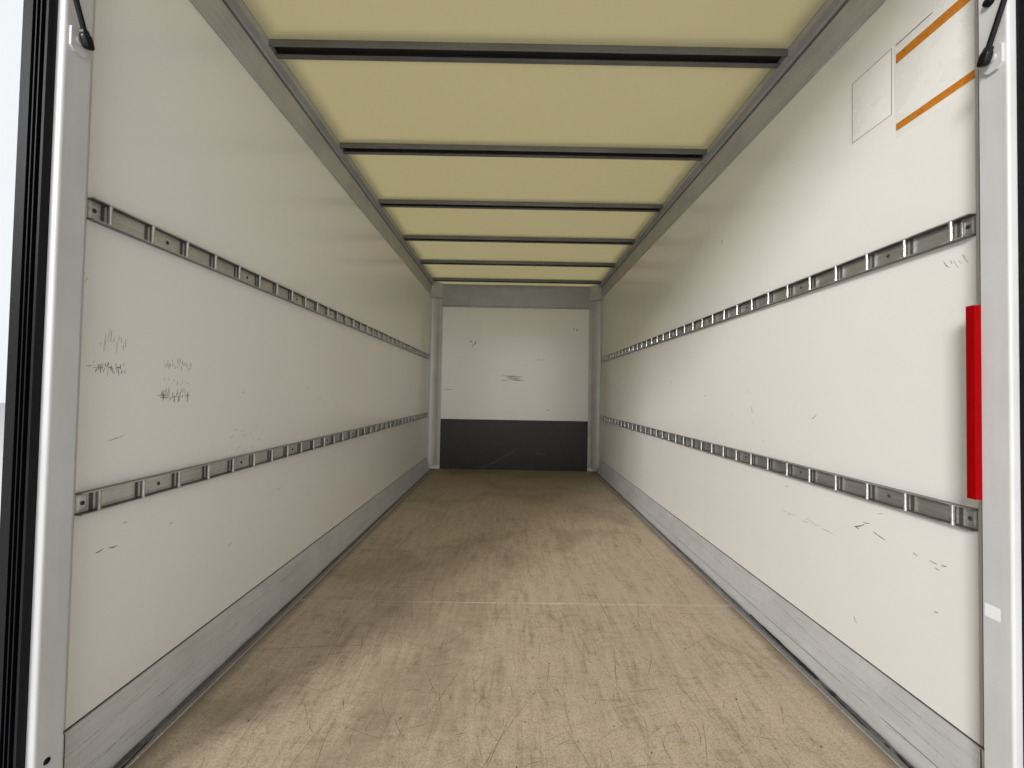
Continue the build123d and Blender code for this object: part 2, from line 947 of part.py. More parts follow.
with BuildPart() as kick_plate_left:
    mirror(kick_plate_right.part, about=Plane.YZ)
keep(kick_plate_left, "kick_plate_left")

# Lashing rails: channels on the wall at two heights, with round bars across them
rail_start = along(rail_start_from_rear)
rail_end = cove_start - rail_front_gap
with BuildPart() as lash_rails_right:
    for level in rail_levels:
        with BuildSketch(Plane.XZ.offset(-rail_start)):
            with Locations((half_width, above(level))):
                Rectangle(rail_depth, rail_height, align=(Align.MAX, Align.CENTER))
            with Locations((half_width - rail_wall, above(level))):
                Rectangle(
                    rail_depth,
                    rail_height - 2 * rail_wall,
                    align=(Align.MAX, Align.CENTER),
                    mode=Mode.SUBTRACT,
                )
        extrude(amount=rail_start - rail_end)
keep(lash_rails_right, "lash_rails_right")

with BuildPart() as lash_rails_left:
    mirror(lash_rails_right.part, about=Plane.YZ)
keep(lash_rails_left, "lash_rails_left")

bar_x = half_width - rail_depth + bar_diameter / 2 + bar_setback
bar_room = rail_end - along(first_bar_from_rear) - bar_diameter
bar_count = int(bar_room // bar_pitch) + 1
bar_length = rail_height - 2 * rail_wall
with BuildPart() as lash_bars_right:
    for level in rail_levels:
        with BuildSketch(Plane.XY.offset(above(level) - bar_length / 2)):
            for number in range(bar_count):
                with Locations((bar_x, along(first_bar_from_rear + number * bar_pitch))):
                    RegularPolygon(bar_diameter / 2, bar_sides)
        extrude(amount=bar_length)
keep(lash_bars_right, "lash_bars_right")

with BuildPart() as lash_bars_left:
    mirror(lash_bars_right.part, about=Plane.YZ)
keep(lash_bars_left, "lash_bars_left")

# Red strip on the cab side of the right-hand post
with BuildPart() as red_strip:
    with BuildSketch(Plane.XY.offset(above(strip_bottom_above_floor))):
        with Locations((post_x - strip_proud, along(portal_depth))):
            Rectangle(strip_width, strip_thickness, align=(Align.MIN, Align.MIN))
        fillet(vertices().group_by(Axis.X)[0].sort_by(Axis.Y)[-1], strip_radius)
    extrude(amount=strip_height)
keep(red_strip, "red_strip")

# Hinges of the flap: fixed brackets on the header, each with its pin
outer_hinge_x = post_x - hinge_from_post
hinge_places = evenly(-outer_hinge_x, outer_hinge_x, hinge_count)
with BuildPart() as hinge_brackets:
    for place in hinge_places:
        with BuildSketch(Plane.YZ.offset(place - hinge_fixed_length / 2)):
            with Locations((hinge_y, hinge_z)):
                RegularPolygon(hinge_barrel_radius, pin_facets)
                Rectangle(
                    hinge_behind_portal,
                    hinge_barrel_radius,
                    align=(Align.MIN, Align.MIN),
                )
        extrude(amount=hinge_fixed_length)
        with BuildSketch(Plane.XZ.offset(-along(0))):
            with Locations((place, hinge_z)):
                Rectangle(hinge_plate_width, hinge_plate_height)
        extrude(amount=hinge_plate)
        with BuildSketch(Plane.YZ.offset(place)):
            with Locations((hinge_y, hinge_z)):
                RegularPolygon(hinge_pin_radius, pin_facets)
        extrude(
            amount=hinge_fixed_length / 2 + hinge_side_gap + hinge_leaf_length,
            both=True,
        )
keep(hinge_brackets, "hinge_brackets")

# The flap's own directions: down its length from the hinge, and out of its back
flap_down = Vector(0, -math.cos(rise), math.sin(rise))
flap_out = Vector(0, math.sin(rise), math.cos(rise))
flap_plane = Plane(
    (0, hinge_y, hinge_z),
    x_dir=(1, 0, 0),
    z_dir=(0, math.sin(rise), math.cos(rise)),
)


def flap_section(x):
    # Lengthwise section through the flap at x: local x points up to the hinge,
    # local y out of the flap's back, and the hinge axis is at the origin
    return Plane((x, hinge_y, hinge_z), x_dir=-flap_down, z_dir=(1, 0, 0))


flap_half_width = outer_x - flap_side_inset
with BuildPart() as flap_frame:
    with BuildSketch(flap_plane.offset(-flap_thickness / 2)):
        with Locations((0, -flap_edge_gap - flap_drop / 2)):
            Rectangle(2 * flap_half_width, flap_drop)
            Rectangle(
                2 * (flap_half_width - flap_frame_width),
                flap_drop - 2 * flap_frame_width,
                mode=Mode.SUBTRACT,
            )
    extrude(amount=flap_thickness)
keep(flap_frame, "flap_frame")

panel_thickness = flap_thickness - 2 * flap_panel_recess
with BuildPart() as flap_panel:
    with BuildSketch(flap_plane.offset(-panel_thickness / 2)):
        with Locations((0, -flap_edge_gap - flap_drop / 2)):
            Rectangle(
                2 * (flap_half_width - flap_frame_width),
                flap_drop - 2 * flap_frame_width,
            )
    extrude(amount=panel_thickness)
keep(flap_panel, "flap_panel")

# Hinge leaves on the flap's back, with a bored knuckle each side of the fixed one
leaf_half_length = hinge_fixed_length / 2 + hinge_side_gap + hinge_leaf_length
leaf_bottom = flap_thickness / 2
with BuildPart() as hinge_leaves:
    for place in hinge_places:
        with BuildSketch(flap_section(place - leaf_half_length)):
            with Locations((-flap_edge_gap - hinge_leaf_thickness, leaf_bottom)):
                Rectangle(
                    hinge_leaf_reach,
                    hinge_leaf_thickness,
                    align=(Align.MAX, Align.MIN),
                )
        extrude(amount=2 * leaf_half_length)
        for start in (-leaf_half_length, leaf_half_length - hinge_leaf_length):
            with BuildSketch(flap_section(place + start)):
                RegularPolygon(hinge_barrel_radius, pin_facets)
                with BuildLine():
                    Polyline(
                        (-hinge_barrel_radius, 0),
                        (hinge_barrel_radius, 0),
                        (hinge_barrel_radius, leaf_bottom),
                        (0, leaf_bottom + hinge_leaf_thickness),
                        (-flap_edge_gap - 2 * hinge_leaf_thickness,
                         leaf_bottom + hinge_leaf_thickness),
                        (-flap_edge_gap - 2 * hinge_leaf_thickness, leaf_bottom),
                        (-hinge_barrel_radius, leaf_bottom),
                        close=True,
                    )
                make_face()
                RegularPolygon(
                    hinge_pin_radius + pin_clearance,
                    pin_facets,
                    major_radius=False,
                    mode=Mode.SUBTRACT,
                )
            extrude(amount=hinge_leaf_length)
keep(hinge_leaves, "hinge_leaves")

# Gas struts: their pivots on the flap and on the posts, in the flap's open position
strut_x = post_x - strut_inset
strut_top = (
    Vector(strut_x, hinge_y, hinge_z)
    + flap_down * strut_lug_along
    - flap_out * strut_lug_standoff
)
strut_foot = Vector(strut_x, along(strut_foot_from_rear), roof_z - strut_foot_drop)
strut_line = strut_foot - strut_top
strut_length = strut_line.length
eye_outer = strut_x + strut_eye_width / 2
eye_inner = strut_x - strut_eye_width / 2

# Lugs on the flap: a base plate, an upright inboard of the strut and a pin
lug_face = -panel_thickness / 2
lug_x = eye_inner - strut_side_gap - lug_plate
with BuildPart() as strut_lugs:
    with BuildSketch(flap_section(lug_x)):
        with BuildLine():
            Polyline(
                (-strut_lug_along - lug_base_width / 2, lug_face),
                (-strut_lug_along + lug_base_width / 2, lug_face),
                (-strut_lug_along + strut_pin_radius, -strut_lug_standoff),
                (-strut_lug_along - strut_pin_radius, -strut_lug_standoff),
                close=True,
            )
        make_face()
        with Locations((-strut_lug_along, -strut_lug_standoff)):
            RegularPolygon(2 * strut_pin_radius, pin_facets)
    extrude(amount=lug_plate)
    with BuildSketch(flap_section(lug_x - lug_base_length / 2)):
        with Locations((-strut_lug_along, lug_face)):
            Rectangle(lug_base_width, lug_plate, align=(Align.CENTER, Align.MAX))
    extrude(amount=lug_base_length)
    with BuildSketch(flap_section(lug_x)):
        with Locations((-strut_lug_along, -strut_lug_standoff)):
            RegularPolygon(strut_pin_radius, pin_facets)
    extrude(amount=eye_outer - lug_x)
    mirror(about=Plane.YZ)
keep(strut_lugs, "strut_lugs")

# Feet on the posts: a plate and a stud that meets the rod's socket
with BuildPart() as strut_feet:
    with BuildSketch(Plane.YZ.offset(post_x)):
        with Locations((strut_foot.Y, strut_foot.Z)):
            Rectangle(foot_width, foot_length)
        chamfer(vertices(), foot_width / 4)
    extrude(amount=-foot_plate)
    with BuildSketch(Plane.YZ.offset(post_x)):
        with Locations((strut_foot.Y, strut_foot.Z)):
            Circle(foot_stud_radius)
    extrude(amount=eye_outer + strut_side_gap - post_x)
    mirror(about=Plane.YZ)
keep(strut_feet, "strut_feet")

# Strut bodies: an eye, a neck and a bored tube that takes the rod
strut_down = Plane(strut_top, x_dir=(1, 0, 0), z_dir=strut_line)
tube_end = strut_end_length + strut_tube_length
with BuildPart() as strut_tube_right:
    with BuildSketch(Plane.YZ.offset(eye_inner)):
        with Locations((strut_top.Y, strut_top.Z)):
            Circle(strut_eye_radius)
    extrude(amount=strut_eye_width)
    with BuildSketch(strut_down):
        Circle(strut_eye_radius / 2 + 1)
    extrude(amount=strut_end_length)
    with BuildSketch(strut_down.offset(strut_end_length)):
        Circle(strut_tube_radius)
    extrude(amount=strut_tube_length)
    with BuildSketch(strut_down.offset(tube_end)):
        RegularPolygon(
            strut_rod_radius + strut_rod_clearance,
            pin_facets,
            major_radius=False,
        )
    extrude(amount=-strut_bore_depth, mode=Mode.SUBTRACT)
    with BuildSketch(Plane.YZ.offset(eye_inner)):
        with Locations((strut_top.Y, strut_top.Z)):
            RegularPolygon(
                strut_pin_radius + pin_clearance,
                pin_facets,
                major_radius=False,
            )
    extrude(amount=strut_eye_width, mode=Mode.SUBTRACT)
keep(strut_tube_right, "strut_tube_right")

with BuildPart() as strut_tube_left:
    mirror(strut_tube_right.part, about=Plane.YZ)
keep(strut_tube_left, "strut_tube_left")

# Strut rods, each with a socket that sits over the stud on the post
with BuildPart() as strut_rod_right:
    with BuildSketch(strut_down.offset(tube_end - strut_rod_inside)):
        Circle(strut_rod_radius)
    extrude(amount=strut_length - tube_end + strut_rod_inside - strut_eye_radius / 2)
    with BuildSketch(strut_down.offset(strut_length - strut_end_length)):
        Circle(strut_eye_radius / 2 + 1)
    extrude(amount=strut_end_length)
    with BuildSketch(Plane.YZ.offset(eye_inner)):
        with Locations((strut_foot.Y, strut_foot.Z)):
            Circle(strut_eye_radius)
    extrude(amount=strut_eye_width)
keep(strut_rod_right, "strut_rod_right")

with BuildPart() as strut_rod_left:
    mirror(strut_rod_right.part, about=Plane.YZ)
keep(strut_rod_left, "strut_rod_left")

# Marker lamps on the sides: amber low down, white at the front and red at the rear
rail_mid_z = (frame_z + above(skirt_above_floor)) / 2
end_lamp_z = top_z - end_lamp_below_top
side_lamp_places = evenly(
    first_side_lamp_from_rear,
    inside_length - last_side_lamp_from_front,
    side_lamp_count,
)
front_lamp_place = corner_from_rear - lamp_width
rear_lamp_place = (portal_depth + wall_flange_cover) / 2
lamp_rows = [
    ("lamps_amber", [(place, rail_mid_z) for place in side_lamp_places]),
    ("lamps_white", [(front_lamp_place, end_lamp_z)]),
    ("lamps_red", [(rear_lamp_place, end_lamp_z)]),
]
for label, places in lamp_rows:
    with BuildPart() as lamps:
        for from_rear, height in places:
            with BuildSketch(Plane.YZ.offset(outer_x)):
                with Locations((along(from_rear), height)):
                    Rectangle(lamp_width, lamp_height)
            extrude(amount=lamp_proud, taper=lamp_taper)
        mirror(about=Plane.YZ)
    keep(lamps, label)

for piece in pieces:
    export_step(piece, f"parts/{piece.label}.step")

whole = Compound(children=pieces).bounding_box()
print("whole body from", whole.min, "to", whole.max)
print("strut open", strut_length)
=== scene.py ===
import math
import bpy
import bmesh
import numpy as np
from mathutils import Matrix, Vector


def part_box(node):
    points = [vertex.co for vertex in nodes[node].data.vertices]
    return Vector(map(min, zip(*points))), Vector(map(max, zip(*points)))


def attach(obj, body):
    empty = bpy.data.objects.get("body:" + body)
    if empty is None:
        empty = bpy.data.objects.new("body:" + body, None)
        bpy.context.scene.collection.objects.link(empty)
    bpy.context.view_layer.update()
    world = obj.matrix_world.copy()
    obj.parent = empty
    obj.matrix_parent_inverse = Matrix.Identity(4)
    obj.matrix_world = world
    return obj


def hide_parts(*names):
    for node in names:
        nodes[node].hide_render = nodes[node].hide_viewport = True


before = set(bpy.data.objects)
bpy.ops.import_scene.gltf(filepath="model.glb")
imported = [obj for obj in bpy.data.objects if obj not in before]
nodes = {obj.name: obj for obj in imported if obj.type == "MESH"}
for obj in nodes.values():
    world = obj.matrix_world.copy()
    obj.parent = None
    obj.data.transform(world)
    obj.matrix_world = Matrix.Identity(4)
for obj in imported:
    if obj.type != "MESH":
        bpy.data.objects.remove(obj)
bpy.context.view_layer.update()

# Places read from the frame, in metres
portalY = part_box("rear_header")[0][1]
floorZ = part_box("floor_boards")[1][2]
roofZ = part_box("roof_panel")[0][2]
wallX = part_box("wall_right")[0][0]
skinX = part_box("wall_right")[1][0]
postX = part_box("rear_post_right")[0][0]
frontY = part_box("front_wall")[0][1]
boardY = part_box("front_kick_panel")[0][1]
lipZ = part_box("roof_bows")[0][2]
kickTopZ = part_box("kick_plate_right")[1][2]
sides = (("right", 1), ("left", -1))
print("frame loaded, floor at", round(floorZ, 3))


def along(fromRear):
    return portalY + fromRear


def above(height):
    return floorZ + height


def maths(kind, backwards=False):
    # A method that joins its socket and others by a maths node
    def applied(self, *others):
        values = (*others, self) if backwards else (self, *others)
        return self.shop.add("ShaderNodeMath", {"operation": kind}, dict(enumerate(values)))
    return applied


# Shader writing: a Val is a socket that can be added and multiplied
class Val:
    def __init__(self, shop, socket):
        self.shop = shop
        self.socket = socket

    __add__ = __radd__ = maths("ADD")
    __sub__ = maths("SUBTRACT")
    __rsub__ = maths("SUBTRACT", backwards=True)
    __mul__ = maths("MULTIPLY")
    __truediv__ = maths("DIVIDE")
    __abs__ = maths("ABSOLUTE")
    fraction = maths("FRACT")
    most = maths("MAXIMUM")
    least = maths("MINIMUM")

    def step(self, low, high):
        # 0 below low, 1 above high and a smooth rise between; high may be the lower one
        inputs = {"Value": self, "From Min": low, "From Max": high}
        return self.shop.add("ShaderNodeMapRange", {"interpolation_type": "SMOOTHSTEP"}, inputs)


class Tree:
    # A node tree that is written by its nodes' types, settings and inputs
    def __init__(self, tree):
        self.tree = tree

    def add(self, kind, settings, inputs, out=0):
        node = self.tree.nodes.new(kind)
        for key, value in settings.items():
            setattr(node, key, value)
        for key, value in inputs.items():
            if isinstance(value, Val):
                self.tree.links.new(value.socket, node.inputs[key])
            else:
                node.inputs[key].default_value = value
        return Val(self, node.outputs[out])


class Shop(Tree):
    # A material's node tree, with its principled shader
    def __init__(self, name, **settings):
        self.material = bpy.data.materials.new(name)
        self.material.use_nodes = True
        Tree.__init__(self, self.material.node_tree)
        self.shader = self.tree.nodes["Principled BSDF"]
        self.output = self.tree.nodes["Material Output"]
        for key, value in settings.items():
            self.shader.inputs[key.replace("_", " ")].default_value = value
        self.spot = self.add("ShaderNodeTexCoord", {}, {}, "Object")
        apart = {"Vector": self.spot}
        self.x, self.y, self.z = [self.add("ShaderNodeSeparateXYZ", {}, apart, n) for n in range(3)]

    def feed(self, **links):
        for key, value in links.items():
            self.tree.links.new(value.socket, self.shader.inputs[key.replace("_", " ")])

    def place(self, scale, turn=(0, 0, 0)):
        inputs = {"Vector": self.spot, "Scale": scale, "Rotation": turn}
        return self.add("ShaderNodeMapping", {}, inputs)

    def noise(self, scale, detail=3, rough=0.5, where=None, warp=0.0):
        return self.add("ShaderNodeTexNoise", {}, {
            "Vector": where or self.spot, "Scale": scale, "Detail": detail, "Roughness": rough,
            "Distortion": warp,
        })

    def cells(self, scale, where, out):
        return self.add("ShaderNodeTexVoronoi", {}, {"Vector": where, "Scale": scale}, out)

    def strokes(self, scale, where, width, share):
        # Short marks: the inner part of stretched cells, kept in a share of them
        near = self.cells(scale, where, "Distance").step(width, width * 0.5)
        tint = self.cells(scale, where, "Color")
        pick = self.add("ShaderNodeSeparateColor", {}, {0: tint})
        return near * pick.step(1 - share, 1 - share + 0.02)

    def mix(self, factor, first, second):
        first, second = [(*c, 1) if isinstance(c, tuple) else c for c in (first, second)]
        return self.add("ShaderNodeMix", {"data_type": "RGBA"}, {0: factor, 6: first, 7: second}, 2)

    def bump(self, height, strength, distance):
        inputs = {"Height": height, "Strength": strength, "Distance": distance}
        return self.add("ShaderNodeBump", {}, inputs)


def plain(name, colour, grain=60, depth=0.25, roughness=0.5, metallic=0.0, **settings):
    # A finish with fine mottling in colour and gloss
    shop = Shop(name, Metallic=metallic, **settings)
    speck = shop.noise(grain, 4, 0.6)
    wide = shop.noise(grain / 12, 3, 0.5)
    dark = tuple(c * (1 - depth) for c in colour)
    tone = (speck * 0.6 + wide * 0.4).step(0.35, 0.65)
    shop.feed(
        Base_Color=shop.mix(tone, dark, colour),
        Roughness=roughness + (speck - 0.5) * 0.25,
        Normal=shop.bump(speck, 0.15, 0.0004),
    )
    return shop.material


# White coated panels: smooth inside, streaked outside. A pair is where a thing starts and is full
panelLook = {
    "clean": (0.76, 0.74, 0.70),
    "grimy": (0.60, 0.575, 0.52),
    "weathered": (0.59, 0.588, 0.572),
    "road": (0.30, 0.28, 0.25),
    "filmAndShade": (0.27, 0.255, 0.23),
    "roughness": 0.20,
    "dirtyLow": (above(0.70), above(0.12)), "splashLow": (above(0.75), above(0.0)),
    # The outer skins: on the sides, at the front and behind the portal
    "sideSkin": (skinX - 0.006, skinX - 0.003),
    "frontSkin": (frontY + 0.018, frontY + 0.022),
    "behindPortal": (portalY + 0.02, portalY + 0.015),
    # The flap's hinge line and opening, its outer skin's height over that line, its film's run
    "hinge": (along(-0.035), above(2.219)), "rise": 8,
    "flapSkin": (0.0085, 0.0115), "thicker": (along(-0.135), along(-0.755)),
}


def panelFinish():
    look = panelLook
    shop = Shop("whitePanel")
    wide = shop.noise(0.9, 1, 0.5)
    fine = shop.noise(6, 2, 0.5)
    low = shop.z.step(*look["dirtyLow"])
    grime = (wide * 0.8 + fine * 0.2).step(0.30, 0.85) * (0.14 + low * 0.20)
    behind = shop.y.step(*look["behindPortal"])
    outside = abs(shop.x).step(*look["sideSkin"]).most(
        shop.y.step(*look["frontSkin"])).most(behind)
    runs = shop.noise(9, 3, 0.6, shop.place((3, 3, 0.16))).step(0.50, 0.80)
    splash = shop.z.step(*look["splashLow"]) * (fine * 0.5 + runs * 0.5)
    aged = shop.mix((runs * 0.16 + splash * 0.4).least(0.8), look["weathered"], look["road"])
    # Road film in streaks on the flap's outer skin, thicker towards its free edge
    hingeY, hingeZ = look["hinge"]
    rise = math.radians(look["rise"])
    out = (shop.z - hingeZ) * math.cos(rise) + (shop.y - hingeY) * math.sin(rise)
    streaks = shop.noise(9, 3, 0.6, shop.place((3, 0.16, 3))).step(0.40, 0.75)
    skin = out.step(*look["flapSkin"]) * behind
    filmAndShade = skin * (0.30 + streaks * 0.28 + shop.y.step(*look["thicker"]) * 0.16)
    aged = shop.mix(filmAndShade, aged, look["filmAndShade"])
    inside = shop.mix(grime, look["clean"], look["grimy"])
    shop.feed(
        Base_Color=shop.mix(outside, inside, aged),
        Roughness=look["roughness"] + grime * 0.2 + outside * 0.2,
        Normal=shop.bump(wide, 0.05, 0.004),
    )
    return shop.material


# Worn deck boards: tan dust in a fine grain, scored along and across
deckLook = {
    "base": (0.392, 0.312, 0.220),
    "worn": (0.545, 0.448, 0.328),
    "dark": (0.135, 0.104, 0.072),
    "far": (0.205, 0.165, 0.112),
    "warm": (0.43, 0.275, 0.19),
    # The boards darken towards the front and along both edges
    "dimmer": (along(1.7), along(3.8)), "edge": (0.905, 0.955),
}


def deckFinish():
    look = deckLook
    shop = Shop("deckBoard", Specular_IOR_Level=0.4)
    broad = shop.noise(1.9, 4, 0.6, warp=0.5)
    lengthwise = shop.noise(26, 5, 0.70, shop.place((1.5, 0.22, 1), (0, 0, 0.06)))
    across = shop.noise(34, 4, 0.70, shop.place((0.3, 1.3, 1), (0, 0, 0.5)))
    fine = shop.noise(190, 3, 0.65)
    grain = lengthwise * 0.6 + across * 0.4
    scored = shop.strokes(5.5, shop.place((7, 0.9, 1), (0, 0, 0.12)), 0.08, 0.40).most(
        shop.strokes(4.5, shop.place((0.9, 9, 1), (0, 0, 0.25)), 0.07, 0.30))
    scored = scored * across.step(0.42, 0.58)
    pits = shop.strokes(34, shop.place((1, 1.4, 1)), 0.12, 0.09)
    tone = shop.mix((broad * 0.30 + grain * 0.70).step(0.38, 0.62), look["base"], look["worn"])
    tone = shop.mix(broad.step(0.46, 0.62) * across.step(0.5, 0.7) * 0.45, tone, look["warm"])
    flecks = fine.step(0.56, 0.36) * 0.38 + grain.step(0.46, 0.34) * 0.30
    tone = shop.mix(flecks.least(0.85), tone, look["dark"])
    dim = shop.y.step(*look["dimmer"]) * 0.6
    tone = shop.mix((dim + broad.step(0.50, 0.36) * 0.25).least(0.8), tone, look["far"])
    edge = abs(shop.x).step(*look["edge"])
    tone = shop.mix((edge * 0.75 + scored * 0.5 + pits * 0.8).least(0.9), tone, look["dark"])
    shop.feed(
        Base_Color=tone,
        Roughness=0.60 + (grain - 0.5) * 0.3,
        Normal=shop.bump(fine * 0.4 + grain * 0.6 - scored * 0.7 - pits, 0.40, 0.0010),
    )
    return shop.material


# Roof sheet that lets daylight through
roofLook = {
    "sheet": (0.60, 0.57, 0.42),
    "shade": (0.53, 0.50, 0.355),
    "stain": (0.34, 0.29, 0.17),
    "weathered": (0.72, 0.70, 0.60),
    "through": (0.60, 0.555, 0.40, 1),
    "rim": (0.27, 0.24, 0.13),
    "under": 0.75, "top": 0.45,
    # The bows' first place and spacing, the reach of the painted shadow beside them and along the sides, and
    # the outer face
    "firstBow": along(0.700), "bowPitch": 0.6306,
    "besideBow": (0.085, 0.030), "besideRail": (0.895, 0.975),
    "underSkin": (roofZ + 0.0045, roofZ + 0.0025),
}


def bowAway(shop):
    # How far a point lies along the body from the nearest bow's middle
    steps = (shop.y - roofLook["firstBow"]) / roofLook["bowPitch"]
    return abs((steps + 0.5).fraction() - 0.5) * roofLook["bowPitch"]


def roofFinish():
    look = roofLook
    shop = Shop("roofSheet", Roughness=0.45)
    fibre = shop.noise(22, 4, 0.7, shop.place((1, 0.5, 1)))
    wide = shop.noise(1.6, 2, 0.5)
    stain = shop.strokes(1.3, shop.place((1, 1.3, 1)), 0.018, 0.30)
    tone = shop.mix((fibre * 0.4 + wide * 0.6).step(0.35, 0.68), look["shade"], look["sheet"])
    tone = shop.mix(stain * 0.6, tone, look["stain"])
    # Painted shadow darkens the sheet beside the bows and along both sides, where less light comes through
    rim = bowAway(shop).step(*look["besideBow"])
    rim = rim.most(abs(shop.x).step(*look["besideRail"])) * 0.45
    tone = shop.mix(rim, tone, look["rim"])
    low = shop.z.step(*look["underSkin"])
    tone = shop.mix((1 - low) * (0.5 + fibre * 0.4), tone, look["weathered"])
    shop.feed(Base_Color=tone, Normal=shop.bump(fibre, 0.1, 0.0006))
    glow = shop.add("ShaderNodeBsdfTranslucent", {}, {"Color": look["through"]})
    share = look["top"] + low * (look["under"] - look["top"]) - rim * 0.6
    joined = shop.add(
        "ShaderNodeMixShader", {}, {0: share, 1: Val(shop, shop.shader.outputs[0]), 2: glow}
    )
    shop.tree.links.new(joined.socket, shop.output.inputs["Surface"])
    return shop.material


# Drawn aluminium: fine lines along the bar, dull patches, and painted shade and dirt where hollow says they
# lie. A look is its bright and its dull colour, roughness and metallic
drawnLook = {
    "railAlu": ((0.72, 0.71, 0.68), (0.50, 0.49, 0.46), 0.34, 0.7),
    "paleAlu": ((0.50, 0.495, 0.475), (0.40, 0.395, 0.375), 0.42, 0.3),
    "kickAlu": ((0.60, 0.60, 0.595), (0.50, 0.50, 0.49), 0.38, 0.25),
    # The bows' colours are darkened to paint the shade they hang in under the roof
    "bowAlu": ((0.18, 0.178, 0.166), (0.135, 0.132, 0.122), 0.45, 0.4),
}
dirtAndShadeColour = (0.045, 0.040, 0.034)


def drawnFinish(name, lines=(1, 0.02, 1), hollow=None):
    bright, dull, rough, metallic = drawnLook[name]
    shop = Shop(name, Metallic=metallic)
    drawn = shop.noise(240, 2, 0.6, shop.place(lines))
    cloud = shop.noise(6, 3, 0.6)
    speck = shop.noise(110, 2, 0.6)
    tone = shop.mix((cloud * 0.55 + drawn * 0.45).step(0.34, 0.66), dull, bright)
    tone = shop.mix(speck.step(0.60, 0.76) * 0.30, tone, tuple(c * 0.55 for c in dull))
    # The hollow's mask darkens the tone: painted shade in hollows, with dirt
    if hollow:
        tone = shop.mix(hollow(shop, cloud, speck), tone, dirtAndShadeColour)
    shop.feed(
        Base_Color=tone,
        Roughness=rough + (cloud - 0.5) * 0.25 + speck * 0.08,
        Normal=shop.bump(drawn * 0.5 + speck * 0.2, 0.12, 0.0004),
    )
    return shop.material


# Lashing rails: plates pressed up between the bars, beads beside the flanges, dome screws
railSet = {
    "levels": [above(0.6545), above(1.3335)],
    "height": 0.051, "webX": wallX - 0.0025, "mouthX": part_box("lash_rails_right")[0][0],
    "firstBar": along(0.146), "pitch": 0.1165, "bars": 33, "lastBarFromEnd": 0.012,
    "plateLength": 0.092, "plateHeight": 0.037, "plateRise": 0.0009,
    "firstPlateFrom": 0.004, "firstPlateShorter": 0.020,
    "beadFromEdge": 0.0052, "beadWidth": 0.0016, "beadRise": 0.0009, "beadFromEnd": 0.001,
    "barRadius": 0.0042, "barDeep": 0.0045, "flange": 0.0025,
    # A bar's waist as (share of its radius, share of its height)
    "bar": [(0, -0.5), (1, -0.5), (1, -0.40), (0.93, -0.34), (0.93, 0.34), (1, 0.40), (1, 0.5), (0, 0.5)],
    "screwRadius": 0.0052, "screwRise": 0.0026, "firstScrew": 0.013, "screwSunk": 0.9,
}

# Painted shade in corners, throats and slots and beside the bars, and dirt on the low strips
def railHollow(shop, cloud, speck):
    low, high = railSet["levels"]
    level = abs(abs(shop.z - (low + high) / 2) - (high - low) / 2)
    # Painted shade by the flanges' inner corners and along the rail's outer edges
    rim = level.step(0.0195, 0.0215) * abs(shop.x).step(wallX - 0.0172, wallX - 0.0150)
    outer = level.step(0.0250, 0.0254) * 0.55
    # Shares of the space between two bars, from its middle
    pitch = railSet["pitch"]
    away = abs(((shop.y - railSet["firstBar"] + pitch / 2) / pitch).fraction() - 0.5)
    # Painted shadow beside each bar
    beside = abs(away - 0.068).step(0.058, 0.030) * abs(shop.x).step(wallX - 0.014, wallX - 0.004)
    # Painted shade over the right rails' field between the bars, made patchy
    filmAndShade = shop.x.step(-0.5, 0.5) * (0.28 + cloud * 0.25) * away.step(0.10, 0.24)
    return (rim * 0.75).most(outer).most(beside * 0.8).most(speck.step(0.62, 0.72) * 0.2).most(filmAndShade)


def paleHollow(shop, cloud, speck):
    # Painted shade in the cant rails' throats, along the roof joint and over the front header, with dirt
    # specks
    inside = abs(shop.x).step(wallX + 0.001, wallX - 0.001)
    throat = abs(shop.z - above(2.1915)).step(0.012, 0.004)
    throat = throat * abs(shop.x).step(wallX - 0.0255, wallX - 0.0235)
    lip = abs(shop.z - roofZ).step(0.004, 0.001) * 0.5
    header = abs(shop.x).step(0.890, 0.886) * shop.z.step(above(1.950), above(1.956))
    header = header * shop.y.step(frontY + 0.004, frontY - 0.004)
    return ((throat * 0.75).most(lip) * inside).most(header * 0.38).most(speck.step(0.64, 0.74) * 0.2)


def bowHollow(shop, cloud, speck):
    # Painted shade inside each bow's slot, with dirt specks
    inner = bowAway(shop).step(0.0290, 0.0284) * shop.z.step(lipZ + 0.0012, lipZ + 0.0028)
    return (inner * 0.92).most(speck.step(0.66, 0.76) * 0.25)


def kickHollow(shop, cloud, speck):
    # The seam is dirtier on the right side
    strip = abs(shop.x).step(0.9868, 0.9860) * abs(shop.x).step(0.9551, 0.9559)
    foot = shop.z.step(above(0.022), above(0.006)) * cloud.step(0.45, 0.62) * 0.25
    seam = abs(shop.z - above(0.0455)).step(0.0020, 0.0008) * cloud.step(0.34, 0.50)
    seam = seam * (0.12 + shop.x.step(-0.5, 0.5) * 0.58)
    return (strip * (0.45 + cloud * 0.5)).most(foot).most(seam)


# Painted steel of the portal, rubbed in places
portalLook = {
    "paint": (0.525, 0.52, 0.512), "shaded": (0.46, 0.455, 0.448),
    "speck": (0.30, 0.285, 0.26), "rub": (0.22, 0.21, 0.20),
}


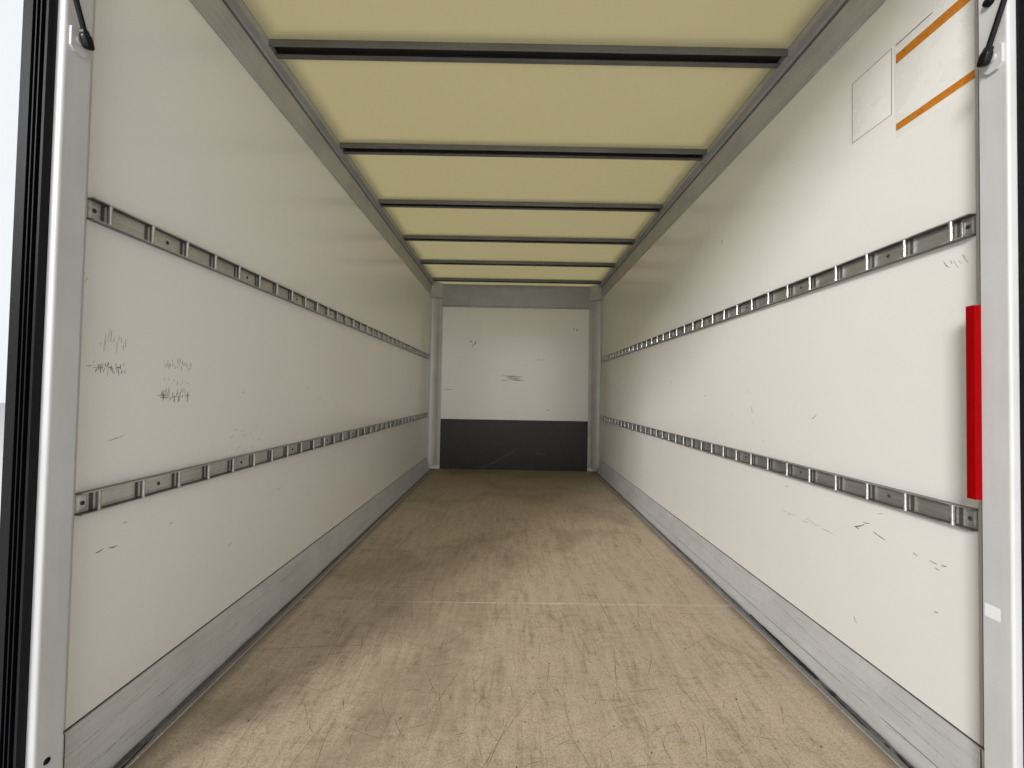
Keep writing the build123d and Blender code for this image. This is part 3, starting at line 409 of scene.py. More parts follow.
def portalFinish():
    shop = Shop("portalPaint")
    cloud = shop.noise(5, 3, 0.6)
    speck = shop.noise(120, 3, 0.7)
    runs = shop.noise(6, 3, 0.6, shop.place((3, 3, 0.25)))
    rubs = shop.strokes(6, shop.place((3, 3, 1)), 0.10, 0.08) * speck.step(0.4, 0.6)
    tone = shop.mix((cloud * 0.5 + runs * 0.5).step(0.35, 0.70), portalLook["shaded"], portalLook["paint"])
    tone = shop.mix(speck.step(0.64, 0.78) * 0.4, tone, portalLook["speck"])
    tone = shop.mix(rubs * 0.5, tone, portalLook["rub"])
    shop.feed(
        Base_Color=tone,
        Roughness=0.36 + (cloud - 0.5) * 0.2 + speck * 0.08,
        Normal=shop.bump(speck, 0.10, 0.0004),
    )
    return shop.material


# Scratches: dark in some places and nearly gone in others
def scuffFinish(name, dark, pale):
    shop = Shop(name, Roughness=0.6)
    breaks = shop.noise(90, 3, 0.7)
    shop.feed(
        Base_Color=shop.mix(breaks.step(0.42, 0.60), dark, pale),
        Normal=shop.bump(breaks, 0.2, 0.0003),
    )
    return shop.material


finishes = {
    "panel": panelFinish(),
    "deck": deckFinish(),
    "roof": roofFinish(),
    "portal": portalFinish(),
    "railAlu": drawnFinish("railAlu", hollow=railHollow),
    "paleAlu": drawnFinish("paleAlu", hollow=paleHollow),
    "kickAlu": drawnFinish("kickAlu", hollow=kickHollow),
    "bowAlu": drawnFinish("bowAlu", (0.02, 1, 1), bowHollow),
    "zinc": plain("dullZinc", (0.50, 0.505, 0.51), 45, 0.25, 0.42, 0.9),
    "barZinc": plain("brightZinc", (0.82, 0.82, 0.80), 80, 0.20, 0.26, 0.9),
    # A darker, duller copy of the bar zinc for the left bars: painted shade
    "barZincShaded": plain("shadedBarZinc", (0.46, 0.45, 0.42), 80, 0.30, 0.45, 0.6),
    "rubber": plain("sealRubber", (0.0040, 0.0036, 0.0044), 90, 0.3, 0.34, Specular_IOR_Level=0.14),
    "sealant": plain("greySealant", (0.125, 0.115, 0.105), 70, 0.55, 0.6),
    "gapDark": plain("darkGap", (0.012, 0.010, 0.010), 70, 0.4, 0.7),
    "kickBoard": plain("darkKickBoard", (0.015, 0.0138, 0.012), 12, 0.45, 0.42, Specular_IOR_Level=0.35),
    "red": plain("redStrip", (0.27, 0.0006, 0.0015), 30, 0.10, 0.65, Specular_IOR_Level=0.04),
    "black": plain("blackPaint", (0.0050, 0.0050, 0.0054), 60, 0.3, 0.34, Specular_IOR_Level=0.18),
    "amber": plain("amberLens", (0.80, 0.28, 0.02), 40, 0.15, 0.15, Coat_Weight=0.6),
    "clear": plain("clearLens", (0.80, 0.80, 0.78), 40, 0.12, 0.12, Coat_Weight=0.6),
    "redLens": plain("redLens", (0.55, 0.02, 0.015), 40, 0.15, 0.15, Coat_Weight=0.6),
    "screw": plain("screwHead", (0.74, 0.73, 0.71), 200, 0.35, 0.25, 0.9),
    "screwDark": plain("railScrew", (0.085, 0.08, 0.075), 200, 0.35, 0.24, 0.5),
    "jointFiller": plain("jointFiller", (0.50, 0.44, 0.34), 90, 0.35, 0.6),
    "sheetWhite": plain("sheetWhite", (0.79, 0.775, 0.74), 14, 0.05, 0.28),
    "sheetOrange": plain("sheetOrange", (0.56, 0.19, 0.015), 70, 0.18, 0.30),
    "sheetLine": plain("sheetLine", (0.10, 0.095, 0.085), 70, 0.3, 0.4),
    "scuff": scuffFinish("wallScuff", (0.055, 0.052, 0.050), (0.30, 0.285, 0.265)),
    "scuffFaint": scuffFinish("faintScuff", (0.20, 0.192, 0.180), (0.45, 0.435, 0.41)),
    "scuffWarm": scuffFinish("warmScuff", (0.42, 0.25, 0.22), (0.62, 0.55, 0.50)),
    "paleStreak": scuffFinish("boardPaleStreak", (0.018, 0.0166, 0.0148), (0.042, 0.039, 0.036)),
    "scoreBrown": scuffFinish("brownScore", (0.115, 0.066, 0.042), (0.27, 0.190, 0.130)),
    "score": scuffFinish("deckScore", (0.045, 0.033, 0.024), (0.150, 0.115, 0.080)),
}
# A name that ends with _ stands for its right and its left node
finishOf = {
    "panel": ["wall_", "front_wall", "flap_panel"],
    "deck": ["floor_boards"],
    "roof": ["roof_panel"],
    "portal": ["rear_post_", "rear_header", "rear_sill", "strut_feet"],
    "railAlu": ["lash_rails_"],
    "paleAlu": ["cant_rail_", "front_header", "front_post_", "roof_corner_", "side_rail_",
                "front_sill", "flap_frame"],
    "kickAlu": ["kick_plate_"],
    "bowAlu": ["roof_bows"],
    "zinc": ["runner_", "cross_bearers", "chassis_consoles", "hinge_brackets", "hinge_leaves",
             "strut_lugs"],
    "barZinc": ["lash_bars_"],
    "rubber": ["portal_seals"],
    "kickBoard": ["front_kick_panel"],
    "red": ["red_strip"],
    "black": ["strut_tube_", "strut_rod_"],
    "amber": ["lamps_amber"],
    "clear": ["lamps_white"],
    "redLens": ["lamps_red"],
}


def wholeNames(name):
    return [name + side for side, sign in sides] if name.endswith("_") else [name]


for finish, names in finishOf.items():
    for name in sum([wholeNames(short) for short in names], []):
        for holder in nodes[name].material_slots:
            holder.material = finishes[finish]
print("materials on the frame")


def points(*axes):
    # Coordinates side by side, each one spread to their common shape
    return np.stack(np.broadcast_arrays(*axes), -1)


# Meshes from numbers. A part is a grid of points (rows, columns, xyz), or many such grids at
# once (copy, rows, columns, xyz), and whether its columns close into a ring.
def gridFaces(rows, columns, ring):
    # Each square's four corners, numbered row by row, from its row r and column c
    r = np.arange(rows - 1)[:, None]
    c = np.arange(columns if ring else columns - 1)[None, :]
    d = (c + 1) % columns
    square = [r * columns + c, r * columns + d, (r + 1) * columns + d, (r + 1) * columns + c]
    return np.stack(square, -1).reshape(-1, 4)


def added(name, data):
    thing = bpy.data.objects.new(name, data)
    bpy.context.collection.objects.link(thing)
    return thing


def makePiece(name, parts, finish, body="body", stands=(), sharp=35):
    spots, faces, count = [], [], 0
    for spread, ring in parts:
        grids = spread.reshape((-1,) + spread.shape[-3:])
        rows, columns = grids.shape[1:3]
        first = count + np.arange(len(grids))[:, None, None] * rows * columns
        faces.append((gridFaces(rows, columns, ring)[None] + first).reshape(-1, 4))
        spots.append(grids.reshape(-1, 3))
        count += len(grids) * rows * columns
    mesh = bpy.data.meshes.new(name)
    mesh.from_pydata(np.concatenate(spots).tolist(), [], np.concatenate(faces).tolist())
    shape = bmesh.new()
    shape.from_mesh(mesh)
    bmesh.ops.remove_doubles(shape, verts=shape.verts, dist=2e-6)
    bmesh.ops.dissolve_degenerate(shape, edges=shape.edges, dist=1e-6)
    bmesh.ops.recalc_face_normals(shape, faces=shape.faces)
    shape.to_mesh(mesh)
    shape.free()
    mesh.shade_smooth()
    mesh.set_sharp_from_angle(angle=math.radians(sharp))
    mesh.materials.append(finishes[finish])
    piece = added(name, mesh)
    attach(piece, body)
    if stands:
        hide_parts(*stands)
    return piece


def lathe(outline, radius, rise, sides):
    # Ring by ring: an outline's (share of the radius, share of the rise) is how far a point is
    # from the Z axis and how high, all the way round
    a = np.arange(sides) * 2 * np.pi / sides
    r, h = (np.array(outline, float) * (radius, rise)).T[..., None]
    return points(r * np.cos(a), r * np.sin(a), h)


def stood(grid, axis):
    # The grid's Z axis turned to lie along axis
    w = np.asarray(axis, float) / np.linalg.norm(axis)
    other = np.array([0, 0, 1.0]) if abs(w[2]) < 0.9 else np.array([0, 1.0, 0])
    u = np.cross(other, w)
    u = u / np.linalg.norm(u)
    return grid @ np.stack([u, np.cross(w, u), w])


def turned(outline, radius, count, axis, base):
    # A lathed form along axis from base; its outline is (share of the radius, height)
    return stood(lathe(outline, radius, 1, count), axis) + base


def copied(grid, places):
    # Copies of a grid: each point moved by each place in turn
    return grid[None] + np.asarray(places, float)[:, None, None, :]


def pad(wide, tall, rise, steps=(-1, -0.985, -0.93, -0.6, 0.6, 0.93, 0.985, 1), power=14):
    # A thin raised field over its width s and height t, both -1 to 1:
    # height = rise * (1 - |s|^power) * (1 - |t|^power)
    s, t = np.meshgrid(steps, steps, indexing="ij")
    lift = rise * (1 - np.abs(s) ** power) * (1 - np.abs(t) ** power)
    return points(s * wide / 2, t * tall / 2, lift)


def pillow(half, power, rows=12, sides=20):
    # A rounded block: a sphere's sines and cosines raised to powers below 1, times half sizes
    u = np.linspace(-np.pi / 2, np.pi / 2, rows)[:, None]
    a = np.arange(sides)[None, :] * 2 * np.pi / sides
    roundness, squareness = power

    def bend(v, p):
        return np.sign(v) * np.abs(v) ** p

    x = bend(np.cos(u), roundness) * bend(np.cos(a), squareness)
    y = bend(np.cos(u), roundness) * bend(np.sin(a), squareness)
    z = bend(np.sin(u), roundness) * np.ones_like(a)
    return points(x * half[0], y * half[1], z * half[2])


def run(profile, stations):
    # A closed profile (x, z) carried along Y, with its ends closed on its middle
    middle = np.broadcast_to(profile.mean(0), profile.shape)
    rings = np.stack([middle] + [profile] * len(stations) + [middle])
    ys = np.array([stations[0], *stations, stations[-1]])
    return points(rings[..., 0], ys[:, None], rings[..., 1])


def bead(height, width, sides=8):
    # Half-round profile standing up from a flat
    a = np.linspace(0, np.pi, sides)
    return points(np.cos(a) * width / 2, np.sin(a) * height)


def crossScrew(radius, rise, sides=24):
    # A dome, height = rise * sqrt(1 - (0.93 s)^2) at s radii, that drops by a cross-shaped
    # recess: where |x| or |y| is small near the middle
    s = np.array([0, 0.12, 0.25, 0.38, 0.5, 0.62, 0.8, 0.94, 1, 1])
    heights = np.sqrt(np.clip(1 - (s * 0.93) ** 2, 0, 1))
    heights[-1] = 0
    grid = lathe(points(s, heights), radius, rise, sides)
    far = np.hypot(grid[..., 0], grid[..., 1])
    arm = np.minimum(np.abs(grid[..., 0]), np.abs(grid[..., 1]))
    dip = (arm < radius * 0.13) & (far < radius * 0.55)
    grid[..., 2] -= np.where(dip, rise * 0.55, 0)
    return grid


def railBars():
    its = railSet
    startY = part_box("lash_rails_right")[0][1]
    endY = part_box("lash_rails_right")[1][1]
    barY = its["firstBar"] + its["pitch"] * np.arange(its["bars"])
    barY = barY[barY < endY - its["lastBarFromEnd"]]
    middles = (barY[1:] + barY[:-1]) / 2
    screwY = np.concatenate([[startY + its["firstScrew"]], middles[1::3]])
    short = (barY[0] - startY) - its["firstPlateShorter"]
    firstY = startY + its["firstPlateFrom"] + short / 2
    beadEnds = [startY + its["beadFromEnd"], endY - its["beadFromEnd"]]
    plateSize = its["plateHeight"], its["plateRise"]
    ring = bead(its["beadRise"], its["beadWidth"])
    bar = lathe(its["bar"], its["barRadius"], its["height"] - 2 * its["flange"], 16)
    for side, sign in sides:
        trims, bars, screws = [], [], []
        inward = np.array([-sign, 0, 0])
        web = sign * its["webX"]
        barX = sign * (its["mouthX"] + its["barDeep"])
        screwX = web - sign * its["plateRise"] * its["screwSunk"]
        plate = stood(pad(its["plateLength"], *plateSize), inward)
        first = stood(pad(short, *plateSize), inward)
        screw = stood(crossScrew(its["screwRadius"], its["screwRise"]), inward)
        for level in its["levels"]:
            trims.append((copied(plate, points(web, middles, level)), False))
            trims.append((copied(first, [[web, firstY, level]]), False))
            for up in (-1, 1):
                z = level + up * (its["height"] / 2 - its["beadFromEdge"])
                profile = points(web - sign * ring[:, 1], z + ring[:, 0])
                trims.append((run(profile, beadEnds), True))
            bars.append((copied(bar, points(barX, barY, level)), True))
            screws.append((copied(screw, points(screwX, screwY, level)), True))
        # The left bars take the darker copy of the zinc: painted shade
        barFinish = "barZinc" if sign > 0 else "barZincShaded"
        makePiece("railTrim_" + side, trims, "railAlu")
        makePiece("railBars_" + side, bars, barFinish, stands=["lash_bars_" + side])
        makePiece("railScrews_" + side, screws, "screwDark")


railBars()
print("lashing rails dressed")

# Gas struts: tube, rod and end fittings; the tube's outline from its low end and from its top
strutSet = {
    "x": 0.955, "foot": (along(0.023), 1.833), "eye": (along(-0.17495), 2.371226),
    "tubeLength": 0.345, "tubeRadius": 0.011, "rodRadius": 0.005, "lowUp": 0.006,
    "socket": (0.0085, 0.0098, 0.0150), "socketRound": (0.55, 0.6), "end": 0.032, "tipBack": 0.006,
    "tubeLow": [(0, 0), (0.62, 0), (0.80, 0.001), (0.95, 0.004), (1, 0.009), (1, 0.03),
                (0.96, 0.031), (0.96, 0.034), (1, 0.035)],
    "tubeTop": [(1, -0.006), (0.7, -0.001), (0.45, 0), (0.45, 0.01), (0, 0.01)],
    "rodLow": [(0, 0.012), (0.9, 0.012), (1, 0.014)], "rodInTube": 0.02,
    "nut": [(0, 0.012), (1.7, 0.012), (1.7, 0.018), (1.4, 0.020), (0, 0.020)],
}


def struts():
    its = strutSet
    foot, eye = np.array(its["foot"]), np.array(its["eye"])
    lean = np.concatenate([[0], eye - foot])
    length = np.linalg.norm(lean)
    top = length - its["end"]
    low = top - its["tubeLength"] + its["lowUp"]
    tube = [(r, low + h) for r, h in its["tubeLow"]] + [(r, top + h) for r, h in its["tubeTop"]]
    rodTop = low + its["rodInTube"]
    rod = its["rodLow"] + [(1, rodTop), (0, rodTop)]
    socket = stood(pillow(its["socket"], its["socketRound"]), lean)
    for side, sign in sides:
        base = np.array([sign * its["x"], *foot])
        body = turned(tube, its["tubeRadius"], 28, lean, base)
        tip = socket + base + lean / length * (length - its["tipBack"])
        makePiece("strutBody_" + side, [(body, True), (tip, True)], "black",
                  "strut_tube_" + side, ["strut_tube_" + side])
        shaft = turned(rod, its["rodRadius"], 20, lean, base)
        nut = turned(its["nut"], its["rodRadius"], 6, lean, base)
        makePiece("strutRodSet_" + side, [(shaft, True), (nut, True), (socket + base, True)], "black",
                  "strut_rod_" + side, ["strut_rod_" + side])


struts()
print("gas struts dressed")

# Floor edges: ragged sealant on the kick plates' low strips, black dirt and a bright edge
edgeSet = {
    "stripEdge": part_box("kick_plate_right")[0][0], "start": along(0.056), "end": frontY - 0.107,
    "footX": wallX - 0.0385, "stripZ": floorZ + 0.0033, "stations": 420, "sunk": 0.001,
    "bead": {"width": 0.016, "rise": 0.0035, "fromFoot": 0.0090, "rough": 1.6},
    # from, to, width, from the face's foot and height
    "black": {
        "right": (0.056, 0.92, 0.021, 0.0005, 0.0050), "left": (0.056, 0.275, 0.013, 0.0185, 0.0021),
    },
    "blackStations": 260, "blackRough": 2.4, "fade": 0.85,
    "bright": {"width": 0.0034, "rise": 0.0012, "fromEdge": 0.0018, "sunk": 0.0009},
    "joint": 0.0033, "jointRise": 0.0012, "upright": (0.0985, 0.0690, 0.0026), "uprightRise": 0.0006,
    "floorJoint": {"y": along(0.9925), "slant": 0.0073, "fromEdge": 0.001, "width": 0.0042,
                   "rise": 0.0009},
    "boardBead": {"reach": 0.88, "width": 0.008, "rise": 0.004, "back": 0.002},
}
# The right kick plate's sloping face, (x, z) at its foot and at its head
kickFace = np.array([[edgeSet["footX"], floorZ + 0.008], [wallX - 0.006, kickTopZ]])


def raggedRun(x, z, start, end, width, rise, stations, seed, columns=7, rough=1.0):
    # A low bead along Y: half-round across, its width and height wandering as a sum of sines
    y = np.linspace(start, end, stations)
    phases = np.random.default_rng(seed).uniform(0, 6.28, 12)
    waves = np.array([3.1, 7.3, 13.7, 29.0, 53.0, 97.0, 171.0, 5.0, 11.0, 37.0, 71.0, 140.0])
    sines = [np.sin(w * y + p) / (1 + 0.02 * w) for w, p in zip(waves, phases)]
    swell, sway = sum(sines[:7]), sum(sines[7:])
    a = np.linspace(0, np.pi, columns)
    half = (width / 2 * (1 + 0.10 * rough * swell))[:, None]
    up = rise * (1 + 0.12 * rough * sway)[:, None]
    up[0], up[-1] = 0, 0
    xs = x + np.cos(a)[None, :] * half
    zs = z + np.sin(a)[None, :] ** 0.7 * up
    return points(xs, y[:, None], zs)


def uprightJoint(sign):
    # A dark joint up the sloping face: foot + (head - foot) * s, t half widths along the body
    # and raised by 1 - t^2
    s, t = np.meshgrid([0, 1.0], np.linspace(-1, 1, 5), indexing="ij")
    low, high = kickFace
    spot = low + (high - low) * s[..., None]
    top, bottom, width = edgeSet["upright"]
    lift = edgeSet["uprightRise"] * (1 - t ** 2)
    y = along(bottom + (top - bottom) * s + t * width / 2)
    return points(sign * (spot[..., 0] - lift), y, spot[..., 1] + lift * 0.2)


def floorEdges():
    its = edgeSet
    sealing, black, strips = [], [], []
    foot, z, ends = its["footX"], its["stripZ"], [its["start"], its["end"]]
    low, count = z - its["sunk"], its["blackStations"]
    one, bright = its["bead"], its["bright"]
    for side, sign in sides:
        sealing.append((raggedRun(sign * (foot - one["fromFoot"]), low, *ends, one["width"], one["rise"],
                                  its["stations"], 5 + sign, rough=one["rough"]), False))
        start, end, wide, away, rise = its["black"][side]
        wide = wide * (1 - its["fade"] * np.linspace(0, 1, count) ** 2)
        x = sign * (foot - away - wide[:, None] / 2)
        black.append((raggedRun(x, low, along(start), along(end), wide, rise, count, 15 + sign,
                                rough=its["blackRough"]), False))
        ring = bead(bright["rise"], bright["width"])
        x = sign * (its["stripEdge"] + bright["fromEdge"]) + ring[:, 0]
        strips.append((run(points(x, z - bright["sunk"] + ring[:, 1]), ends), True))
        # The dark joints over the plate and across it, on its sloping face
        ring = bead(its["jointRise"], its["joint"])
        top = kickTopZ + its["joint"] / 2 + ring[:, 0]
        black.append((run(points(sign * (wallX - ring[:, 1]), top), ends), True))
        black.append((uprightJoint(sign), False))
    # The filler in the floor's joint and the bead under the front kick panel, laid across
    one = its["floorJoint"]
    reach = its["stripEdge"] - one["fromEdge"]
    away, x, up = np.moveaxis(raggedRun(0, 0, -reach, reach, one["width"], one["rise"], 300, 9), -1, 0)
    joint = points(x, away + one["y"] + x * one["slant"], up + floorZ)
    one = its["boardBead"]
    across = raggedRun(0, 0, -one["reach"], one["reach"], one["width"], one["rise"], 180, 3)[..., [1, 0, 2]]
    sealing.append((across + np.array([0, boardY - one["back"], floorZ]), False))
    makePiece("floorSealing", sealing, "sealant")
    makePiece("floorDirt", black, "gapDark")
    makePiece("floorEdgeStrips", strips, "screw")
    makePiece("floorJoint", [(joint, False)], "jointFiller")


floorEdges()
print("floor edges dressed")

# Blank stickers and sheets on the right side: from and to along the wall, and in height
signSet = {
    "bands": [(0.104, 0.300, 1.871, 1.898), (0.104, 0.300, 1.679, 1.700)],
    "whiteSheet": (0.104, 0.301, 1.660, 1.936),
    "rule": [(0.199, 0.300, 1.9238, 1.9265)],
    "outlined": (0.308, 0.452, 1.732, 1.932),
    "outline": 0.0016, "outlineInset": 0.004,
    "postSticker": (0.0217, 0.0495, 0.470, 0.497),
    "thick": 0.0003, "steps": (-1, -0.997, -0.99, 0.99, 0.997, 1), "power": 300,
}


def label(x, spot, lift):
    # A sheet that faces the body's middle: a pad with near-square edges, centred on its place
    y0, y1, z0, z1 = spot
    sheet = pad(y1 - y0, z1 - z0, signSet["thick"], signSet["steps"], signSet["power"])
    return stood(sheet, (-1, 0, 0)) + np.array([x - lift, along((y0 + y1) / 2), above((z0 + z1) / 2)])


def signs():
    its = signSet
    thick, w, inset = its["thick"], its["outline"], its["outlineInset"]
    y0, y1, z0, z1 = its["outlined"]
    y0, y1, z0, z1 = y0 + inset, y1 - inset, z0 + inset, z1 - inset
    lines = [(y0, y1, z0, z0 + w), (y0, y1, z1 - w, z1), (y0, y0 + w, z0, z1), (y1 - w, y1, z0, z1)]
    for name, x, spots, lift, finish in (
        ("wallSheet", wallX, [its["whiteSheet"]], 0.0, "sheetWhite"),
        ("wallSheetBands", wallX, its["bands"], thick, "sheetOrange"),
        ("wallSheetBlank", wallX, [its["outlined"]], 0.0, "sheetWhite"),
        ("wallSheetLines", wallX, its["rule"] + lines, thick, "sheetLine"),
        ("postSticker", postX, [its["postSticker"]], 0.0, "sheetWhite"),
    ):
        makePiece(name, [(label(x, spot, lift), False) for spot in spots], finish)


signs()

# Scratches as thin raised strokes. A stroke runs along u = s * length / 2 and bows by
# v = bend * (s^2 - 1) * length / 2, its width and height falling to nothing at both ends
def strokeGrid(u0, v0, lengths, widths, angles, bends, rise=0.00016, rows=9):
    s = np.linspace(-1, 1, rows)[:, None]
    t = np.array([-1.0, 0.0, 1.0])
    u0, v0, lengths, widths, angles, bends = [
        np.broadcast_to(v, len(u0))[:, None, None] for v in (u0, v0, lengths, widths, angles, bends)
    ]
    taper = np.sqrt(1 - s ** 2 * 0.985)
    u = s * lengths / 2
    v = bends * (s ** 2 - 1) * lengths / 2 + t * widths / 2 * taper
    cosine, sine = np.cos(np.radians(angles)), np.sin(np.radians(angles))
    lift = rise * (1 - t ** 2) * taper + 0.00004
    return u * cosine - v * sine + u0, u * sine + v * cosine + v0, lift


# Wall marks: along (at the front across), height, length and width in mm, angle and bend
markSet = {
    "left": [
        (0.198, 0.795, 48, 1.8, 14, 0.02), (0.166, 0.527, 22, 3.0, 12, 0.1), (0.200, 0.524, 24, 3.2, -4, 0.1),
        (0.228, 0.575, 11, 2.2, 10, 0), (0.373, 0.528, 11, 2.2, 4, 0.1), (0.628, 0.371, 22, 2.6, 30, 0.1),
        (0.673, 0.911, 9, 3.0, 80, 0.1), (2.226, 1.065, 26, 5.0, 70, 0),
        (1.15, 0.93, 22, 2.4, 80, 0.1), (0.93, 0.50, 40, 1.8, 8, 0.05), (1.62, 0.47, 30, 3.0, 15, 0),
    ],
    "right": [
        (0.424, 0.540, 44, 3.4, -26, 0.1), (0.398, 0.556, 26, 2.6, -10, 0.1),
        (0.432, 0.531, 20, 3.2, 12, 0.1),
        (0.356, 0.532, 46, 2.8, 16, 0.03), (0.251, 0.521, 13, 3.0, 20, 0.1), (0.205, 0.519, 22, 2.4, 6, 0.1),
        (0.180, 0.520, 14, 2.4, -8, 0.1), (0.196, 0.506, 12, 2.2, 10, 0.1), (0.438, 0.248, 20, 2.6, 58, 0.1),
        (0.199, 0.398, 13, 2.0, -20, 0.1), (0.980, 0.869, 30, 3.0, 78, 0.1),
        (1.248, 1.720, 26, 6.0, 85, 0), (0.61, 0.86, 34, 2.2, -35, 0.1), (1.42, 0.93, 20, 3.2, 10, 0.1),
        (0.76, 0.68, 40, 1.8, -14, 0.05), (1.90, 1.02, 30, 4.0, 60, 0.1),
    ],
    "front": [
        (-0.491, 1.523, 44, 16.0, 70, 0.1), (-0.545, 1.540, 34, 14.0, 40, 0.1),
        (-0.515, 1.49, 30, 12.0, 85, 0.1), (0.742, 1.703, 30, 14.0, 80, 0), (0.706, 1.712, 24, 12.0, 60, 0),
        (-0.80, 0.955, 120, 4.5, 1, 0), (0.406, 0.728, 36, 6.0, 20, 0.1), (0.31, 1.335, 110, 4.0, 3, 0.05),
    ],
    # Lighter diagonal streaks on the dark front kick panel
    "board": [
        (-0.27, 0.072, 210, 24.0, 31, 0.03), (-0.17, 0.130, 270, 30.0, 33, 0.02),
        (-0.07, 0.185, 230, 22.0, 31, 0.02), (0.00, 0.240, 130, 18.0, 35, 0.02),
        (-0.36, 0.040, 130, 20.0, 18, 0.05), (0.33, 0.200, 150, 15.0, -12, 0.03),
    ],
}
# Rows of short dashes: side, span along, span in height, count, length in mm, angle and kind
dashSet = [
    ("left", 0.135, 0.212, 0.956, 0.982, 20, 20, 86, "dark"),
    ("left", 0.150, 0.212, 1.020, 1.050, 11, 30, 88, "faint"),
    ("left", 0.325, 0.420, 0.886, 0.918, 34, 19, 80, "dark"),
    ("left", 0.330, 0.425, 0.975, 1.004, 30, 17, 84, "faint"),
    ("left", 0.130, 0.200, 0.966, 0.974, 4, 34, 0, "dark"),
    ("left", 0.325, 0.415, 0.894, 0.908, 6, 30, 2, "dark"),
    ("left", 0.335, 0.420, 0.930, 0.950, 12, 10, 75, "faint"),
    ("left", 0.080, 0.112, 1.165, 1.190, 7, 7, 85, "faint"),
    ("left", 0.62, 0.78, 0.70, 0.79, 9, 26, 20, "faint"),
    ("left", 1.30, 1.75, 0.86, 0.93, 9, 26, 10, "faint"),
    ("right", 0.125, 0.169, 1.252, 1.268, 5, 22, 62, "faint"),
    ("right", 0.36, 0.80, 0.56, 0.70, 10, 26, -10, "faint"),
    ("right", 0.56, 0.77, 0.476, 0.490, 7, 52, -2, "faint"),
    ("right", 0.90, 1.60, 0.60, 0.95, 12, 24, 30, "faint"),
    ("right", 1.70, 2.60, 0.80, 1.10, 10, 34, 10, "faint"),
]
dashLook = {
    "dark": (0.0014, 0.0030), "faint": (0.0011, 0.0024),
    "lengths": (0.4, 1.3), "spread": 7, "bend": 0.1,
}
# Warm smears on the front wall: angle is its mean and its spread
warmSet = {
    "count": 7, "across": (-0.20, 0.06), "height": (1.07, 1.14), "length": (0.08, 0.22),
    "width": (0.007, 0.012), "angle": (-4, 4), "bend": 0.03,
}


def placeOn(side, u, v, h):
    # A stroke's grid laid on its face: u along it, v up it and h out of it
    if side in ("left", "right"):
        sign = dict(sides)[side]
        return points(sign * (wallX - h), along(u), above(v))
    return points(u, (frontY if side == "front" else boardY) - h, above(v))


def wallMarks():
    rng = np.random.default_rng(11)
    kinds = {"dark": [], "faint": [], "warm": [], "paleStreak": []}
    for side, marks in markSet.items():
        u, v, lengths, widths, angles, bends = np.array(marks).T
        grid = strokeGrid(u, v, lengths / 1000, widths / 1000, angles, bends)
        kinds["paleStreak" if side == "board" else "dark"].append((placeOn(side, *grid), False))
    for side, y0, y1, z0, z1, count, length, angle, kind in dashSet:
        y = np.linspace(y0, y1, count) + rng.normal(0, (y1 - y0) / count / 3, count)
        z = rng.uniform(z0, z1, count)
        lengths = length / 1000 * rng.uniform(*dashLook["lengths"], count)
        widths = rng.uniform(*dashLook[kind], count)
        turns = angle + rng.normal(0, dashLook["spread"], count)
        grid = strokeGrid(y, z, lengths, widths, turns, rng.normal(0, dashLook["bend"], count))
        kinds[kind].append((placeOn(side, *grid), False))
    count = warmSet["count"]
    u, v, lengths, widths = [
        rng.uniform(*warmSet[key], count) for key in ("across", "height", "length", "width")
    ]
    turns = rng.normal(*warmSet["angle"], count)
    grid = strokeGrid(u, v, lengths, widths, turns, warmSet["bend"])
    kinds["warm"].append((placeOn("front", *grid), False))
    makePiece("wallScuffs", kinds["dark"], "scuff")
    makePiece("wallScuffsFaint", kinds["faint"], "scuffFaint")
    makePiece("wallScuffsWarm", kinds["warm"], "scuffWarm")
    makePiece("kickBoardPaleStreaks", kinds["paleStreak"], "paleStreak")


# Scratches: "reach" is their start, their span and the power that draws them to the portal. A
# group is count, shortest, longest, angle, its spread, width and bend
scoreSet = {
    "kick": {
        "count": 46, "lengths": (0.04, 0.26), "widths": (0.0007, 0.0018), "spread": 3, "bend": 0.01,
        "reach": (0.12, 3.2, 1.6), "heights": (0.02, 0.125), "rise": 0.0001,
    },
    "floor": {"reach": (0.08, 2.2, 1.2), "across": (-0.80, 0.82), "widths": (0.5, 1.3), "rise": 0.00012},
    "deck": [
        (120, 0.06, 0.30, 90, 13, 0.0010, 0.05), (150, 0.02, 0.09, 90, 50, 0.0013, 0.20),
        (70, 0.04, 0.16, 0, 22, 0.0010, 0.08), (9, 0.25, 0.60, 75, 30, 0.0016, 0.10),
        (170, 0.004, 0.011, 45, 60, 0.0040, 0.10),
    ],
    "brown": [
        (260, 0.03, 0.15, 90, 17, 0.0014, 0.06), (140, 0.02, 0.07, 60, 60, 0.0018, 0.20),
        (60, 0.05, 0.16, 5, 25, 0.0013, 0.08),
    ],
}


def reached(rng, count, reach):
    start, far, power = reach
    return start + far * rng.uniform(0, 1, count) ** power


def kickScratches():
    # Strokes laid on the plates' sloping face: v runs up its slope and the lift stands off it
    one = scoreSet["kick"]
    count = one["count"]
    low, high = kickFace
    slope = (high - low) / np.linalg.norm(high - low)
    grids = []
    for sign, seed in ((1, 41), (-1, 42)):
        rng = np.random.default_rng(seed)
        start, up = reached(rng, count, one["reach"]), rng.uniform(*one["heights"], count)
        lengths, widths = rng.uniform(*one["lengths"], count), rng.uniform(*one["widths"], count)
        turns, bends = rng.normal(0, one["spread"], count), rng.normal(0, one["bend"], count)
        y, far, lift = strokeGrid(start, up, lengths, widths, turns, bends, one["rise"], 7)
        x = low[0] + slope[0] * far - lift * slope[1]
        z = low[1] + slope[1] * far + lift * slope[0]
        grids.append((points(sign * x, along(y), z), False))
    makePiece("kickScratches", grids, "scuffFaint")


